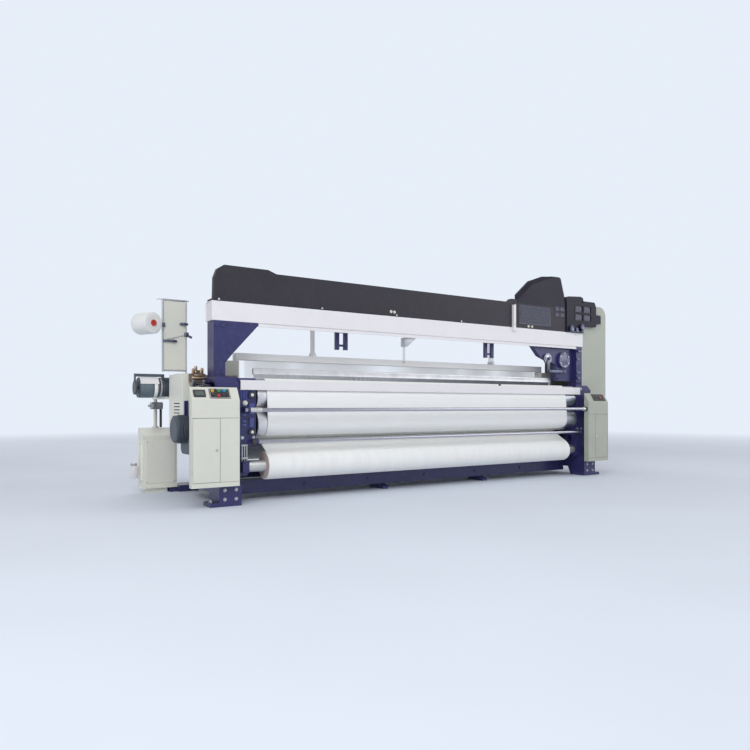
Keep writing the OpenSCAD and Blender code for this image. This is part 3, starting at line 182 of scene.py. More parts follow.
def only(piece):
    """Selects this piece alone and makes it the active one."""
    clear()
    piece.select_set(True)
    bpy.context.view_layer.objects.active = piece


def settle(piece):
    """Puts the piece's place into its mesh, with its origin at 0, 0, 0."""
    only(piece)
    bpy.ops.object.transform_apply(location=True, rotation=True, scale=True)


def box(name, low, high, bevel=0.0, segments=1):
    """A block between two corners, with its edges bevelled."""
    clear()
    low, high = Vector(low), Vector(high)
    bpy.ops.mesh.primitive_cube_add(size=1, location=(low + high) / 2)
    piece = bpy.context.object
    piece.name = piece.data.name = name
    piece.scale = high - low
    settle(piece)
    if bevel:
        soften(piece, every, bevel, segments)
    return piece


def rod(name, start, end, r, sides=24, bevel=0.0):
    """A round bar between two points, with its rims bevelled."""
    clear()
    start, end = Vector(start), Vector(end)
    line = end - start
    bpy.ops.mesh.primitive_cylinder_add(vertices=sides, radius=r, depth=line.length,
                                        location=(start + end) / 2)
    piece = bpy.context.object
    piece.name = piece.data.name = name
    piece.rotation_mode = "QUATERNION"
    piece.rotation_quaternion = line.to_track_quat("Z", "Y")
    settle(piece)
    if bevel:
        way = line.normalized()
        soften(piece, lambda face: abs(face.normal.dot(way)) > 0.99, bevel)
    return piece


def shape(piece, test):
    """Opens the piece in edit mode with the faces selected that pass the test."""
    only(piece)
    bpy.ops.object.mode_set(mode="EDIT")
    bpy.ops.mesh.select_mode(type="FACE")
    bpy.ops.mesh.select_all(action="DESELECT")
    mesh = bmesh.from_edit_mesh(piece.data)
    mesh.normal_update()
    for face in mesh.faces:
        if test(face):
            face.select_set(True)
    bmesh.update_edit_mesh(piece.data)


def soften(piece, test, width, segments=2):
    """Bevels the edges of the faces that pass the test."""
    shape(piece, test)
    bpy.ops.mesh.bevel(offset=width, segments=segments, affect="EDGES")
    bpy.ops.object.mode_set(mode="OBJECT")


def inset(piece, test, thickness, depth=0.0):
    """Insets the faces that pass the test, and raises them by depth, or sinks them if it is below 0."""
    shape(piece, test)
    bpy.ops.mesh.inset(thickness=thickness, depth=depth)
    bpy.ops.object.mode_set(mode="OBJECT")


def pull(piece, test, move):
    """Extrudes the faces that pass the test along move."""
    shape(piece, test)
    bpy.ops.mesh.extrude_region_move(TRANSFORM_OT_translate={"value": move})
    bpy.ops.object.mode_set(mode="OBJECT")


def every(face):
    """Test that all faces pass."""
    return True


def facing(x=0, y=0, z=0, limit=0.9, area=0.0):
    """Test for faces that look along x, y, z and are no smaller than area."""
    way = Vector((x, y, z)).normalized()
    return lambda face: face.normal.dot(way) > limit and face.calc_area() >= area


def modify(piece, kind, **values):
    """Adds a modifier with these values and applies it."""
    only(piece)
    modifier = piece.modifiers.new(kind.title(), kind)
    for key, value in values.items():
        setattr(modifier, key, value)
    bpy.ops.object.modifier_apply(modifier=modifier.name)


def row(piece, count, step):
    """Repeats the piece count times, step apart."""
    modify(piece, "ARRAY", count=count, use_relative_offset=False, use_constant_offset=True,
           constant_offset_displace=step)


def copy_to(piece, moves):
    """Copies of the piece, each with its own mesh, moved from where the piece is."""
    made = []
    for move in moves:
        twin = piece.copy()
        twin.data = piece.data.copy()
        bpy.context.scene.collection.objects.link(twin)
        twin.data.transform(Matrix.Translation(Vector(move)))
        made.append(twin)
    return made


def join(name, pieces):
    """Makes the pieces one, under a new name."""
    clear()
    for piece in pieces:
        piece.select_set(True)
    bpy.context.view_layer.objects.active = pieces[0]
    if len(pieces) > 1:
        bpy.ops.object.join()
    piece = bpy.context.object
    piece.name = piece.data.name = name
    return piece


def block(name, low, high, bevel=0.0, segments=1):
    """A block between two corners given from the loom's middle planes."""
    return box(name, at(*low), at(*high), bevel, segments)


def bar(name, start, end, r, sides=24, bevel=0.0):
    """A round bar between two points given from the loom's middle planes."""
    return rod(name, at(*start), at(*end), r, sides, bevel)


def dress(piece, body, finish, smooth=30):
    """Gives a finished piece its finish and, unless it is blended, the body it moves with."""
    settle(piece)
    if smooth:
        bpy.ops.object.shade_smooth_by_angle(angle=math.radians(smooth))
    piece.data.materials.clear()
    piece.data.materials.append(FINISHES[finish])
    if body:
        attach(piece, body)
    return piece


def fixed(name, parts, finish):
    """Joins the parts into one piece that stands still with the frame."""
    return dress(join(name, parts), "frame", finish)


def bolts(name, places, r, finish, way=(0, -1, 0), sides=6, washer=True):
    """Bolt heads, on washers or not, one at each place, all facing the same way."""
    way = Vector(way).normalized()
    start = Vector(places[0])
    parts = []
    if washer:
        parts.append(bar("washer", start, start + way * r * 0.3, r * 1.45, 16, r * 0.08))
    head = bar("head", start + way * r * 0.28, start + way * r * 1.15, r, sides, r * 0.12)
    inset(head, facing(*way, 0.99), r * 0.4, -r * 0.15)
    parts.append(head)
    first = join(name, parts)
    return fixed(name, [first, *copy_to(first, [Vector(p) - start for p in places[1:]])], finish)


def screws(name, places, r, finish):
    """Round screw heads without washers, facing forwards."""
    return bolts(name, places, r, finish, sides=12, washer=False)


# Button panels: slope, x of the lower outer corner on each side, its height, and the top of the plate
SLOPE = math.atan2(0.097, 0.060)
PANEL_X = {-1: -2.409, 1: 2.273}
PANEL_Z = 0.814
PLATE = 0.0031

# Test for faces that look straight off a panel
OFF_PANEL = facing(y=-math.sin(SLOPE), z=math.cos(SLOPE), limit=0.99)


def lay(piece, side):
    """Lays a piece that was modelled flat on the sloping panel of the left (-1) or right (1) box."""
    corner = at(PANEL_X[side], BOX_Y, PANEL_Z)
    piece.data.transform(Matrix.Translation(corner) @ Matrix.Rotation(SLOPE, 4, "X"))
    return piece


def key(name, side, low, high, bevel=0.001):
    """A block on a sloping panel, from its corners: u runs inwards, v up the slope and h off it."""
    if side > 0:
        low, high = (-high[0], low[1], low[2]), (-low[0], high[1], high[2])
    return lay(box(name, low, high, bevel, 2), side)


def knob(name, side, u, v, r, low, high, bevel=0.001, sides=24):
    """A round part that stands on the sloping panel."""
    u = -u if side > 0 else u
    return lay(rod(name, (u, v, low), (u, v, high), r, sides, bevel), side)


# Belts over rollers: a stop is y, z, radius, side, where side 1 turns left and -1 turns right

# From a roller's surface to the middle of the belt
GAP = 0.0015


def signed(stop):
    """Radius of the belt round a stop, below 0 where it turns right."""
    return stop[3] * (stop[2] + GAP) if stop[2] else 0.0


def heading(a, b):
    """Direction of the straight run from stop a to stop b."""
    away = math.hypot(b[0] - a[0], b[1] - a[1])
    return math.atan2(b[1] - a[1], b[0] - a[0]) - math.asin((signed(b) - signed(a)) / away)


def on_roller(stop, way):
    """Point y, z of the belt on a stop where it runs in direction way."""
    return (stop[0] + signed(stop) * math.sin(way), stop[1] - signed(stop) * math.cos(way))


def belt_line(stops, step=math.radians(6)):
    """Points y, z of a belt that runs over these stops."""
    line = [on_roller(stops[0], heading(stops[0], stops[1]))]
    for before, here, after in zip(stops, stops[1:], stops[2:]):
        start, end = heading(before, here), heading(here, after)
        sweep = (end - start) % math.tau if here[3] > 0 else -((start - end) % math.tau)
        count = max(1, math.ceil(abs(sweep) / step))
        line += [on_roller(here, start + sweep * k / count) for k in range(count + 1)]
    line.append(on_roller(stops[-1], heading(stops[-2], stops[-1])))
    return line


def lengths(line):
    """Length of the line up to each of its points."""
    run = [0.0]
    for a, b in zip(line, line[1:]):
        run.append(run[-1] + math.hypot(b[0] - a[0], b[1] - a[1]))
    return run


def strip(name, line, low, high, columns=2):
    """A sheet from x = low to high along a line of y, z points, its UV map in metres."""
    clear()
    bpy.ops.mesh.primitive_grid_add(x_subdivisions=columns, y_subdivisions=len(line) - 1, size=2)
    piece = bpy.context.object
    piece.name = piece.data.name = name
    run = lengths(line)
    places = []
    for v in piece.data.vertices:
        k = round((v.co.y + 1) / 2 * (len(line) - 1))
        x = low + (high - low) * (v.co.x + 1) / 2
        places.append((x, run[k]))
        v.co = at(x, *line[k])
    chart = piece.data.uv_layers.active.data
    for loop in piece.data.loops:
        chart[loop.index].uv = places[loop.vertex_index]
    return piece


# Finishes

FINISHES = {}


def nodes_of(name):
    """A new material, its node tree and its shader."""
    material = bpy.data.materials.new(name)
    material.use_nodes = True
    tree = material.node_tree
    return material, tree, tree.nodes["Principled BSDF"]


def link(tree, start, out, end, into):
    """Joins one node's output to another's input."""
    tree.links.new(start.outputs[out], end.inputs[into])


def coordinates(tree, scale=(1, 1, 1), use="Object"):
    """The piece's own coordinates, stretched by scale."""
    place = tree.nodes.new("ShaderNodeTexCoord")
    mapping = tree.nodes.new("ShaderNodeMapping")
    mapping.inputs["Scale"].default_value = scale
    link(tree, place, use, mapping, "Vector")
    return mapping


def noise(tree, mapping, scale, detail=3.0, rough=0.5):
    """A noise texture."""
    texture = tree.nodes.new("ShaderNodeTexNoise")
    texture.inputs["Scale"].default_value = scale
    texture.inputs["Detail"].default_value = detail
    texture.inputs["Roughness"].default_value = rough
    link(tree, mapping, "Vector", texture, "Vector")
    return texture


def ramp(tree, source, out, stops):
    """A colour ramp with these stops: place, colour."""
    node = tree.nodes.new("ShaderNodeValToRGB")
    while len(node.color_ramp.elements) < len(stops):
        node.color_ramp.elements.new(0.5)
    for element, (place, colour) in zip(node.color_ramp.elements, stops):
        element.position = place
        element.color = (*colour, 1.0)
    link(tree, source, out, node, "Fac")
    return node


def spread(tree, source, out, low, high, from_low=0.3, from_high=0.7):
    """Spreads a value over the range from low to high."""
    node = tree.nodes.new("ShaderNodeMapRange")
    node.inputs["From Min"].default_value = from_low
    node.inputs["From Max"].default_value = from_high
    node.inputs["To Min"].default_value = low
    node.inputs["To Max"].default_value = high
    link(tree, source, out, node, "Value")
    return node


def bump(tree, source, out, shader, strength, distance):
    """Bump from a texture, on the shader's normal."""
    node = tree.nodes.new("ShaderNodeBump")
    node.inputs["Strength"].default_value = strength
    node.inputs["Distance"].default_value = distance
    link(tree, source, out, node, "Height")
    link(tree, node, "Normal", shader, "Normal")


def tint(colour, share):
    """The colour made lighter (share over 1) or darker."""
    return tuple(min(1.0, max(0.0, c * share)) for c in colour)


def paint(name, colour, rough=0.4, swing=0.05, peel=0.25, coat=0.0, dust=None, shine=0.5):
    """Sprayed paint: faint patches, a fine orange-peel skin and, where its colour is given, dust."""
    material, tree, shader = nodes_of(name)
    mapping = coordinates(tree)
    patches = noise(tree, mapping, 3.0, 4.0, 0.55)
    base = ramp(tree, patches, "Fac", [(0.25, tint(colour, 1 - swing)), (0.75, tint(colour, 1 + swing))])
    if dust:
        specks = noise(tree, mapping, 26.0, 6.0, 0.7)
        amount = spread(tree, specks, "Fac", 0.0, 0.35, 0.52, 0.75)
        # inputs 6 and 7 of a colour mix are its two colours, and output 2 is the mixed one
        mix = tree.nodes.new("ShaderNodeMix")
        mix.data_type = "RGBA"
        mix.inputs[7].default_value = (*dust, 1.0)
        link(tree, amount, "Result", mix, 0)
        link(tree, base, "Color", mix, 6)
        link(tree, mix, 2, shader, "Base Color")
    else:
        link(tree, base, "Color", shader, "Base Color")
    link(tree, spread(tree, patches, "Fac", rough - 0.05, rough + 0.07), "Result", shader, "Roughness")
    shader.inputs["Coat Weight"].default_value = coat
    shader.inputs["Specular IOR Level"].default_value = shine
    skin = noise(tree, mapping, 420.0, 2.0)
    bump(tree, skin, "Fac", shader, peel, 0.0006)
    return material


def metal(name, colour, rough=0.3, lines=(1, 60, 60), swing=0.12):
    """Machined metal: fine turning or grinding lines and faint stains."""
    material, tree, shader = nodes_of(name)
    shader.inputs["Metallic"].default_value = 1.0
    stains = noise(tree, coordinates(tree), 9.0, 5.0, 0.6)
    base = ramp(tree, stains, "Fac", [(0.3, tint(colour, 1 - swing)), (0.7, tint(colour, 1 + swing))])
    link(tree, base, "Color", shader, "Base Color")
    grind = noise(tree, coordinates(tree, lines), 40.0, 4.0, 0.6)
    link(tree, spread(tree, grind, "Fac", rough - 0.08, rough + 0.14), "Result", shader, "Roughness")
    bump(tree, grind, "Fac", shader, 0.15, 0.0004)
    return material


def plastic(name, colour, rough=0.45, grain=600.0):
    """Moulded plastic with a fine even grain."""
    material, tree, shader = nodes_of(name)
    mapping = coordinates(tree)
    cloud = noise(tree, mapping, 30.0, 3.0)
    base = ramp(tree, cloud, "Fac", [(0.3, tint(colour, 0.93)), (0.7, tint(colour, 1.06))])
    link(tree, base, "Color", shader, "Base Color")
    link(tree, spread(tree, cloud, "Fac", rough - 0.05, rough + 0.08), "Result", shader, "Roughness")
    skin = noise(tree, mapping, grain, 2.0)
    bump(tree, skin, "Fac", shader, 0.2, 0.0004)
    return material


def weave(name, colour, across=700.0):
    """Plain-woven cloth on the sheet's own UV map, which is in metres."""
    material, tree, shader = nodes_of(name)
    mapping = coordinates(tree, use="UV")
    waves = []
    for direction in ("X", "Y"):
        wave = tree.nodes.new("ShaderNodeTexWave")
        wave.bands_direction = direction
        wave.inputs["Scale"].default_value = across
        wave.inputs["Distortion"].default_value = 1.5
        wave.inputs["Detail"].default_value = 1.0
        link(tree, mapping, "Vector", wave, "Vector")
        waves.append(wave)
    cross = tree.nodes.new("ShaderNodeMath")
    cross.operation = "MULTIPLY"
    link(tree, waves[0], "Fac", cross, 0)
    link(tree, waves[1], "Fac", cross, 1)
    slub = noise(tree, coordinates(tree, (0.6, 14, 1), "UV"), 9.0, 4.0, 0.6)
    base = ramp(tree, slub, "Fac", [(0.3, tint(colour, 0.955)), (0.7, tint(colour, 1.02))])
    link(tree, base, "Color", shader, "Base Color")
    shader.inputs["Roughness"].default_value = 0.85
    shader.inputs["Sheen Weight"].default_value = 0.25
    bump(tree, cross, "Value", shader, 0.35, 0.0005)
    return material


def wound(name, colour, scale, axis="X", swing=0.05):
    """Threads or cloth wound side by side round an axis."""
    material, tree, shader = nodes_of(name)
    mapping = coordinates(tree)
    wave = tree.nodes.new("ShaderNodeTexWave")
    wave.bands_direction = axis
    wave.inputs["Scale"].default_value = scale
    wave.inputs["Distortion"].default_value = 2.0
    wave.inputs["Detail"].default_value = 2.0
    link(tree, mapping, "Vector", wave, "Vector")
    broad = noise(tree, coordinates(tree, (6, 0.8, 0.8)), 3.0, 4.0, 0.6)
    base = ramp(tree, broad, "Fac", [(0.3, tint(colour, 1 - swing)), (0.7, tint(colour, 1 + swing / 2))])
    link(tree, base, "Color", shader, "Base Color")
    shader.inputs["Roughness"].default_value = 0.8
    shader.inputs["Sheen Weight"].default_value = 0.2
    bump(tree, wave, "Fac", shader, 0.4, 0.0008)
    return material


# Pieces: one operator for each group, and one for the stage


class LOOM_OT_stage(Operator):
    """Pale floor, plain background, soft lamps and the camera"""

    bl_idname = "loom.stage"
    bl_label = "Stage"

    def execute(self, context):
        stage = context.scene.loom_stage
        backdrop = (0.80, 0.86, 0.95)
        clear()
        bpy.ops.mesh.primitive_circle_add(vertices=96, radius=60, fill_type="NGON", location=(0, 0, 0))
        floor = context.object
        floor.name = "floor"
        material, tree, shader = nodes_of("floor_finish")
        shader.inputs["Roughness"].default_value = 0.75
        haze = noise(tree, coordinates(tree), 0.7, 4.0)
        link(tree, ramp(tree, haze, "Fac", [(0.3, tint(backdrop, 0.90)), (0.7, tint(backdrop, 0.94))]),
             "Color", shader, "Base Color")
        # far from the loom the floor turns into the background
        reach = tree.nodes.new("ShaderNodeVectorMath")
        reach.operation = "LENGTH"
        link(tree, coordinates(tree), "Vector", reach, 0)
        fade = spread(tree, reach, "Value", 0.0, 1.0, 6.0, 15.0)
        glow = tree.nodes.new("ShaderNodeEmission")
        glow.inputs["Color"].default_value = (*backdrop, 1.0)
        mix = tree.nodes.new("ShaderNodeMixShader")
        link(tree, fade, "Result", mix, 0)
        link(tree, shader, "BSDF", mix, 1)
        link(tree, glow, "Emission", mix, 2)
        link(tree, mix, "Shader", tree.nodes["Material Output"], "Surface")
        floor.data.materials.append(material)

        world = bpy.data.worlds.new("studio")
        context.scene.world = world
        world.use_nodes = True
        tree = world.node_tree
        light = tree.nodes["Background"]
        light.inputs["Color"].default_value = (0.93, 0.95, 1.0, 1.0)
        light.inputs["Strength"].default_value = 0.56
        plain = tree.nodes.new("ShaderNodeBackground")
        plain.inputs["Color"].default_value = (*backdrop, 1.0)
        rays = tree.nodes.new("ShaderNodeLightPath")
        seen = tree.nodes.new("ShaderNodeMath")
        seen.operation = "MAXIMUM"
        link(tree, rays, "Is Camera Ray", seen, 0)
        link(tree, rays, "Is Transmission Ray", seen, 1)
        mix = tree.nodes.new("ShaderNodeMixShader")
        link(tree, seen, "Value", mix, 0)
        link(tree, light, "Background", mix, 1)
        link(tree, plain, "Background", mix, 2)
        link(tree, mix, "Shader", tree.nodes["World Output"], "Surface")

        lamps = [
            ("key", (-5.5, -6.5, 6.0), stage.key, 5.0),
            ("fill", (6.5, -6.0, 4.5), stage.key * 0.50, 6.0),
            ("back", (0.0, 7.0, 6.0), stage.key * 0.35, 6.0),
        ]
        for name, place, power, size in lamps:
            clear()
            bpy.ops.object.light_add(type="AREA", location=place)
            lamp = context.object
            lamp.name = name
            lamp.data.energy = power
            lamp.data.size = size
            lamp.rotation_euler = (Vector((0, 0, 1.0)) - Vector(place)).to_track_quat("-Z", "Y").to_euler()

        clear()
        bpy.ops.object.camera_add(location=stage.eye, rotation=(math.pi / 2, 0, -stage.yaw))
        camera = context.object
        camera.data.lens = stage.lens
        camera.data.sensor_width = 36
        camera.data.shift_y = stage.rise
        camera.data.clip_end = 200
        context.scene.camera = camera
        context.scene.view_settings.view_transform = "Standard"
        return {"FINISHED"}


class LOOM_OT_finishes(Operator):
    """Paint, metal and plastic on the carried parts"""

    bl_idname = "loom.finishes"
    bl_label = "Finishes"

    def execute(self, context):
        tone = context.scene.loom_colours
        FINISHES.update(
            cream=paint("cream_enamel", tone.cream, 0.42, 0.025, 0.3, dust=tint(tone.cream, 0.86)),
            navy=paint("navy_enamel", tone.navy, 0.36, 0.14, 0.35, coat=0.25, dust=(0.10, 0.10, 0.20)),
            black=paint("black_enamel", tone.black, 0.46, 0.10, 0.45, dust=(0.060, 0.056, 0.070), shine=0.3),
            white=paint("white_enamel", tone.white, 0.38, 0.02, 0.2, dust=tint(tone.white, 0.9)),
            steel=metal("bright_steel", tone.steel, 0.30),
            chrome=metal("chromed_bar", (0.50, 0.49, 0.55), 0.22, (2, 30, 30), 0.04),
            roller=metal("ground_roller", tone.roller, 0.34, (200, 2, 2)),
            # light steel of the grip collars: partly the collars' own ground steel, partly painted light
            satin=metal("satin_collar", (0.78, 0.77, 0.80), 0.45, (160, 3, 3), 0.06),
            rubber=plastic("roller_rubber", (0.60, 0.60, 0.56), 0.6),
            alloy=metal("cast_alloy", (0.55, 0.56, 0.58), 0.42, (8, 8, 8)),
            reed=metal("reed_wire", (0.62, 0.63, 0.66), 0.28, (60, 60, 2)),
            heald=paint("heald_lacquer", (0.88, 0.88, 0.87), 0.34, 0.02, 0.15),
            wire=paint("heald_wire", (0.84, 0.84, 0.84), 0.4, 0.03, 0.1),
            cap=metal("reed_cap", (0.70, 0.70, 0.72), 0.36, (2, 60, 60)),
            dents=metal("reed_dents", (0.24, 0.25, 0.30), 0.34, (60, 60, 2)),
            # pinkish-brown end faces of the cloth roll: partly the edges' own tint, partly painted shade
            layers=wound("roll_edge_and_shade", (0.55, 0.44, 0.41), 220.0, "Z", 0.12),
            core=metal("core_tube", (0.72, 0.72, 0.70), 0.4, (3, 40, 40), 0.06),
            dark=plastic("dark_plastic", (0.045, 0.045, 0.05), 0.38),
            red=plastic("red_button", (0.55, 0.03, 0.02), 0.3),
            green=plastic("green_button", (0.02, 0.28, 0.08), 0.3),
            motor=paint("motor_enamel", (0.075, 0.095, 0.12), 0.45, 0.12, 0.4, dust=(0.20, 0.21, 0.22)),
            pane=plastic("smoked_pane", (0.030, 0.033, 0.070), 0.2, 200.0),
            blued=metal("blued_steel", (0.16, 0.17, 0.24), 0.26, (12, 12, 12)),
            screen=plastic("display_screen", (0.10, 0.13, 0.12), 0.2, 200.0),
            amber=plastic("amber_lamp", (0.72, 0.42, 0.04), 0.25, 200.0),
            teal=plastic("teal_lamp", (0.03, 0.40, 0.42), 0.25, 200.0),
            blue=plastic("blue_key", (0.05, 0.10, 0.42), 0.3, 200.0),
            brass=metal("brass_fitting", (0.52, 0.40, 0.28), 0.38, (8, 8, 8), 0.2),
            # lighter copy of the navy paint for the bracket ribs and pads: painted highlight
            navy_light=paint("navy_rib_painted_highlight", (0.07, 0.09, 0.30), 0.32, 0.12, 0.3, coat=0.3),
            head=paint("head_enamel", (0.020, 0.018, 0.032), 0.40, 0.14, 0.45, dust=(0.035, 0.032, 0.055),
                       shine=0.22),
            seam=plastic("panel_seam", (0.20, 0.20, 0.18), 0.6),
            # lighter copy of the cream paint for the left cover, the floor cabinet and the feeder post:
            # painted light on parts that stand in shade
            pale=paint("pale_cream_enamel", tint(tone.cream, 1.22), 0.42, 0.02, 0.3, dust=tone.cream),
            drum=plastic("feeder_drum", (0.20, 0.26, 0.30), 0.3),
            # darker copy of the cream paint for the right-hand covers and box: painted shade, as the light
            # falls from the left
            shade=paint("cream_enamel_painted_shade", (0.42, 0.43, 0.37), 0.45, 0.06, 0.3, dust=(0.34, 0.35, 0.31)),
            brown=metal("brown_metal", (0.24, 0.18, 0.15), 0.5, (6, 6, 6), 0.25),
            cloth=weave("woven_cloth", tone.cloth),
            warp=plastic("warp_filament", tone.yarn, 0.6, 900.0),
            beam_yarn=wound("wound_warp", tone.yarn, 160.0),
            roll=wound("wound_cloth", tone.cloth, 30.0),
            package=wound("wound_weft", tone.yarn, 120.0, "Y"),
        )
        given = {
            # the right-hand covers and box take the painted-shade copy of the cream paint
            "shade": ["right_side_cover", "right_box", "right_door"],
            # the left cover, the floor cabinet and the feeder post take the painted-light copy of the cream
            # paint
            "pale": ["left_side_cover", "floor_cabinet", "feeder_post"],
            "cream": ["left_box", "left_door", "frame_combs"],
            "navy": ["left_frame", "right_frame", "lower_front_beam", "mid_feet", "rear_cross_beam",
                     "columns", "left_gusset", "linkage_housing", "roller_brackets", "heald_guides",
                     "beam_brackets", "sley_bearings", "wheel_post"],
            "black": ["long_cover"],
            "head": ["dobby_hood", "dobby_head"],
            "white": ["top_beam", "breast_cover", "cover_post", "under_beam_rail"],
            "dark": ["left_panel", "right_panel", "handwheel"],
            "chrome": ["front_bars", "breast_bar"],
            "roller": ["upper_roller", "takeup_roller", "back_rest"],
            "rubber": ["press_roller"],
            "steel": ["weft_stand", "warp_beam", "sley"],
            "alloy": ["drive_unit", "feeder_disc"],
            "reed": ["reed", *(f"heald_frame_{i + 1}" for i in range(HEALDS))],
            "motor": ["motor", "feeder_body"],
            "brown": ["nozzle_unit"],
            "beam_yarn": ["warp_yarn"],
            "cloth": ["cloth"],
            "warp": ["warp_sheet"],
            "roll": ["cloth_roll"],
            "package": ["yarn_package"],
            "green": ["start_button"],
            "red": ["stop_button", "right_button"],
        }
        for finish, names in given.items():
            for name in names:
                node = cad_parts[name]
                node.data.materials.clear()
                node.data.materials.append(FINISHES[finish])
        bare = set(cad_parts) - {n for names in given.values() for n in names}
        if bare:
            raise RuntimeError(f"no finish for {sorted(bare)}")
        return {"FINISHED"}


class LOOM_OT_healds(Operator):
    """Heald frames with rails, stiles, wires, lifting rods and hooks"""

    bl_idname = "loom.healds"
    bl_label = "Heald frames"

    def execute(self, context):
        for i in range(HEALDS):
            y = heald_y(i)
            front, rear = y - 0.005, y + 0.005
            parts = []
            for low, high in ((0.763, 0.821), (1.165, 1.223)):
                rail = block("rail", (-HEALD_HALF, front, low), (HEALD_HALF, rear, high), 0.0015)
                inset(rail, facing(y=-1, limit=0.99), 0.010, -0.0015)
                parts.append(rail)
            for side in (-1, 1):
                x = side * (HEALD_HALF - 0.015)
                parts.append(block("stile", (x - 0.015, front, 0.822), (x + 0.015, rear, 1.164), 0.002))
                x = side * LIFT_X
                hook = block("hook", (x - 0.016, front, 1.2235), (x + 0.016, rear, 1.247), 0.002)
                pull(hook, facing(z=1), (0, 0, 0.008))
                parts.append(hook)
                parts.append(bar("lift", (x, y, 1.224), (x, y, 1.72), 0.004, 12, 0.001))
            rails = join(f"heald_rails_{i + 1}", parts)
            dress(rails, f"heald_{i + 1}", "heald")
            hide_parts(f"heald_frame_{i + 1}")
            x = wire_x(i)
            wires = block(f"heald_wires_{i + 1}", (x - 0.0005, y - 0.0003, 0.820),
                          (x + 0.0005, y + 0.0003, 1.166))
            row(wires, WIRES, (WIRE_PITCH, 0, 0))
            dress(wires, f"heald_{i + 1}", "wire", 0)
        return {"FINISHED"}


class LOOM_OT_warp(Operator):
    """Warp yarns: through the healds to the cloth, and from the warp beam over the back rest"""

    bl_idname = "loom.warp"
    bl_label = "Warp"

    def execute(self, context):
        sizes = context.scene.loom_sizes
        half = sizes.yarn_width / 2
        for i in range(HEALDS):
            x, y = wire_x(i), heald_y(i)
            for part, end in (("front", FELL), ("back", WARP_BACK)):
                yarns = block(f"warp_{part}_{i + 1}", (x - half, min(y, end), WARP_Z - half),
                              (x + half, max(y, end), WARP_Z + half))
                row(yarns, WIRES, (WIRE_PITCH, 0, 0))
                dress(yarns, None, "warp", 0)
                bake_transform(yarns)
        line = belt_line([(*WARP_BEAM, 1), (*BACK_REST, 1), (WARP_BACK - 0.02, WARP_Z, 0, 1)])
        rear = strip("warp_rear", line, -WARP_HALF, -WARP_HALF + 2 * half)
        modify(rear, "SOLIDIFY", thickness=2 * half, offset=0)
        row(rear, round(2 * WARP_HALF / sizes.yarn_pitch), (sizes.yarn_pitch, 0, 0))
        dress(rear, "frame", "warp", 0)
        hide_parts("warp_sheet")
        return {"FINISHED"}


class LOOM_OT_reed(Operator):
    """Reed with fine dents, end pieces and cap rail"""

    bl_idname = "loom.reed"
    bl_label = "Reed"

    def execute(self, context):
        pitch = context.scene.loom_sizes.dent_pitch
        y = -0.394
        low, high = 0.937, 1.037
        first_dent = -1.753
        foot = block("foot", (-1.767, y - 0.0058, 0.9185), (1.767, y + 0.0058, low + 0.001), 0.001)
        cap = block("cap", (-1.775, y - 0.015, high - 0.001), (1.775, y + 0.015, 1.086))
        soften(cap, facing(z=1), 0.008, 3)
        inset(cap, facing(y=-1, limit=0.99), 0.009, -0.002)
        ends = [block("end", (x - 0.006, y - 0.005, low), (x + 0.006, y + 0.005, high), 0.001)
                for x in (-1.761, 1.761)]
        rails = join("reed_cap", [foot, cap, *ends])
        dress(rails, "sley", "cap")
        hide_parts("reed")
        dents = block("reed_dents", (first_dent - 0.0003, y - 0.004, low),
                      (first_dent + 0.0003, y + 0.004, high))
        row(dents, int(-2 * first_dent / pitch) + 1, (pitch, 0, 0))
        dress(dents, "sley", "dents", 0)
        return {"FINISHED"}


class LOOM_OT_cloth(Operator):
    """Woven cloth over the breast bar and the front rollers, and the cloth roll"""

    bl_idname = "loom.cloth"
    bl_label = "Cloth"

    def execute(self, context):
        line = belt_line([(FELL, WARP_Z, 0, 1), (*BREAST_BAR, 1), (*UPPER_ROLLER, 1), (*TAKEUP_ROLLER, 1),
                          (*PRESS_ROLLER, -1), (*CLOTH_ROLL, 1)])
        sheet = strip("woven_cloth", line, -CLOTH_W / 2, CLOTH_W / 2, 40)
        modify(sheet, "SOLIDIFY", thickness=0.001, offset=0)
        dress(sheet, "frame", "cloth")
        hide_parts("cloth")

        y, z, r = CLOTH_ROLL
        roll = bar("wound_cloth", (-1.759, y, z), (1.759, y, z), r, 96, 0.004)
        for side in (-1, 1):
            inset(roll, facing(x=side, limit=0.999), 0.004, -0.003)
        dress(roll, "cloth_roll", "roll")
        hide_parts("cloth_roll")
        # the end faces of the roll are pinkish brown: partly their own tint, partly painted shade
        ends = []
        for side in (-1, 1):
            disc = bar("disc", (side * 1.7555, y, z), (side * 1.7585, y, z), r - 0.007, 96)
            inset(disc, facing(x=side, limit=0.999), 0.012, 0.0008)
            inset(disc, facing(x=side, limit=0.999), 0.022, -0.0008)
            ends.append(disc)
        dress(join("roll_layers", ends), "cloth_roll", "layers")
        tube = bar("tube", (-1.904, y, z), (1.918, y, z), 0.047, 64, 0.004)
        for side in (-1, 1):
            inset(tube, facing(x=side, limit=0.999), 0.010, -0.006)
        journal = bar("journal", (-1.988, y, z), (1.988, y, z), 0.022, 32, 0.002)
        dress(join("roll_core", [tube, journal]), "cloth_roll", "core")
        return {"FINISHED"}


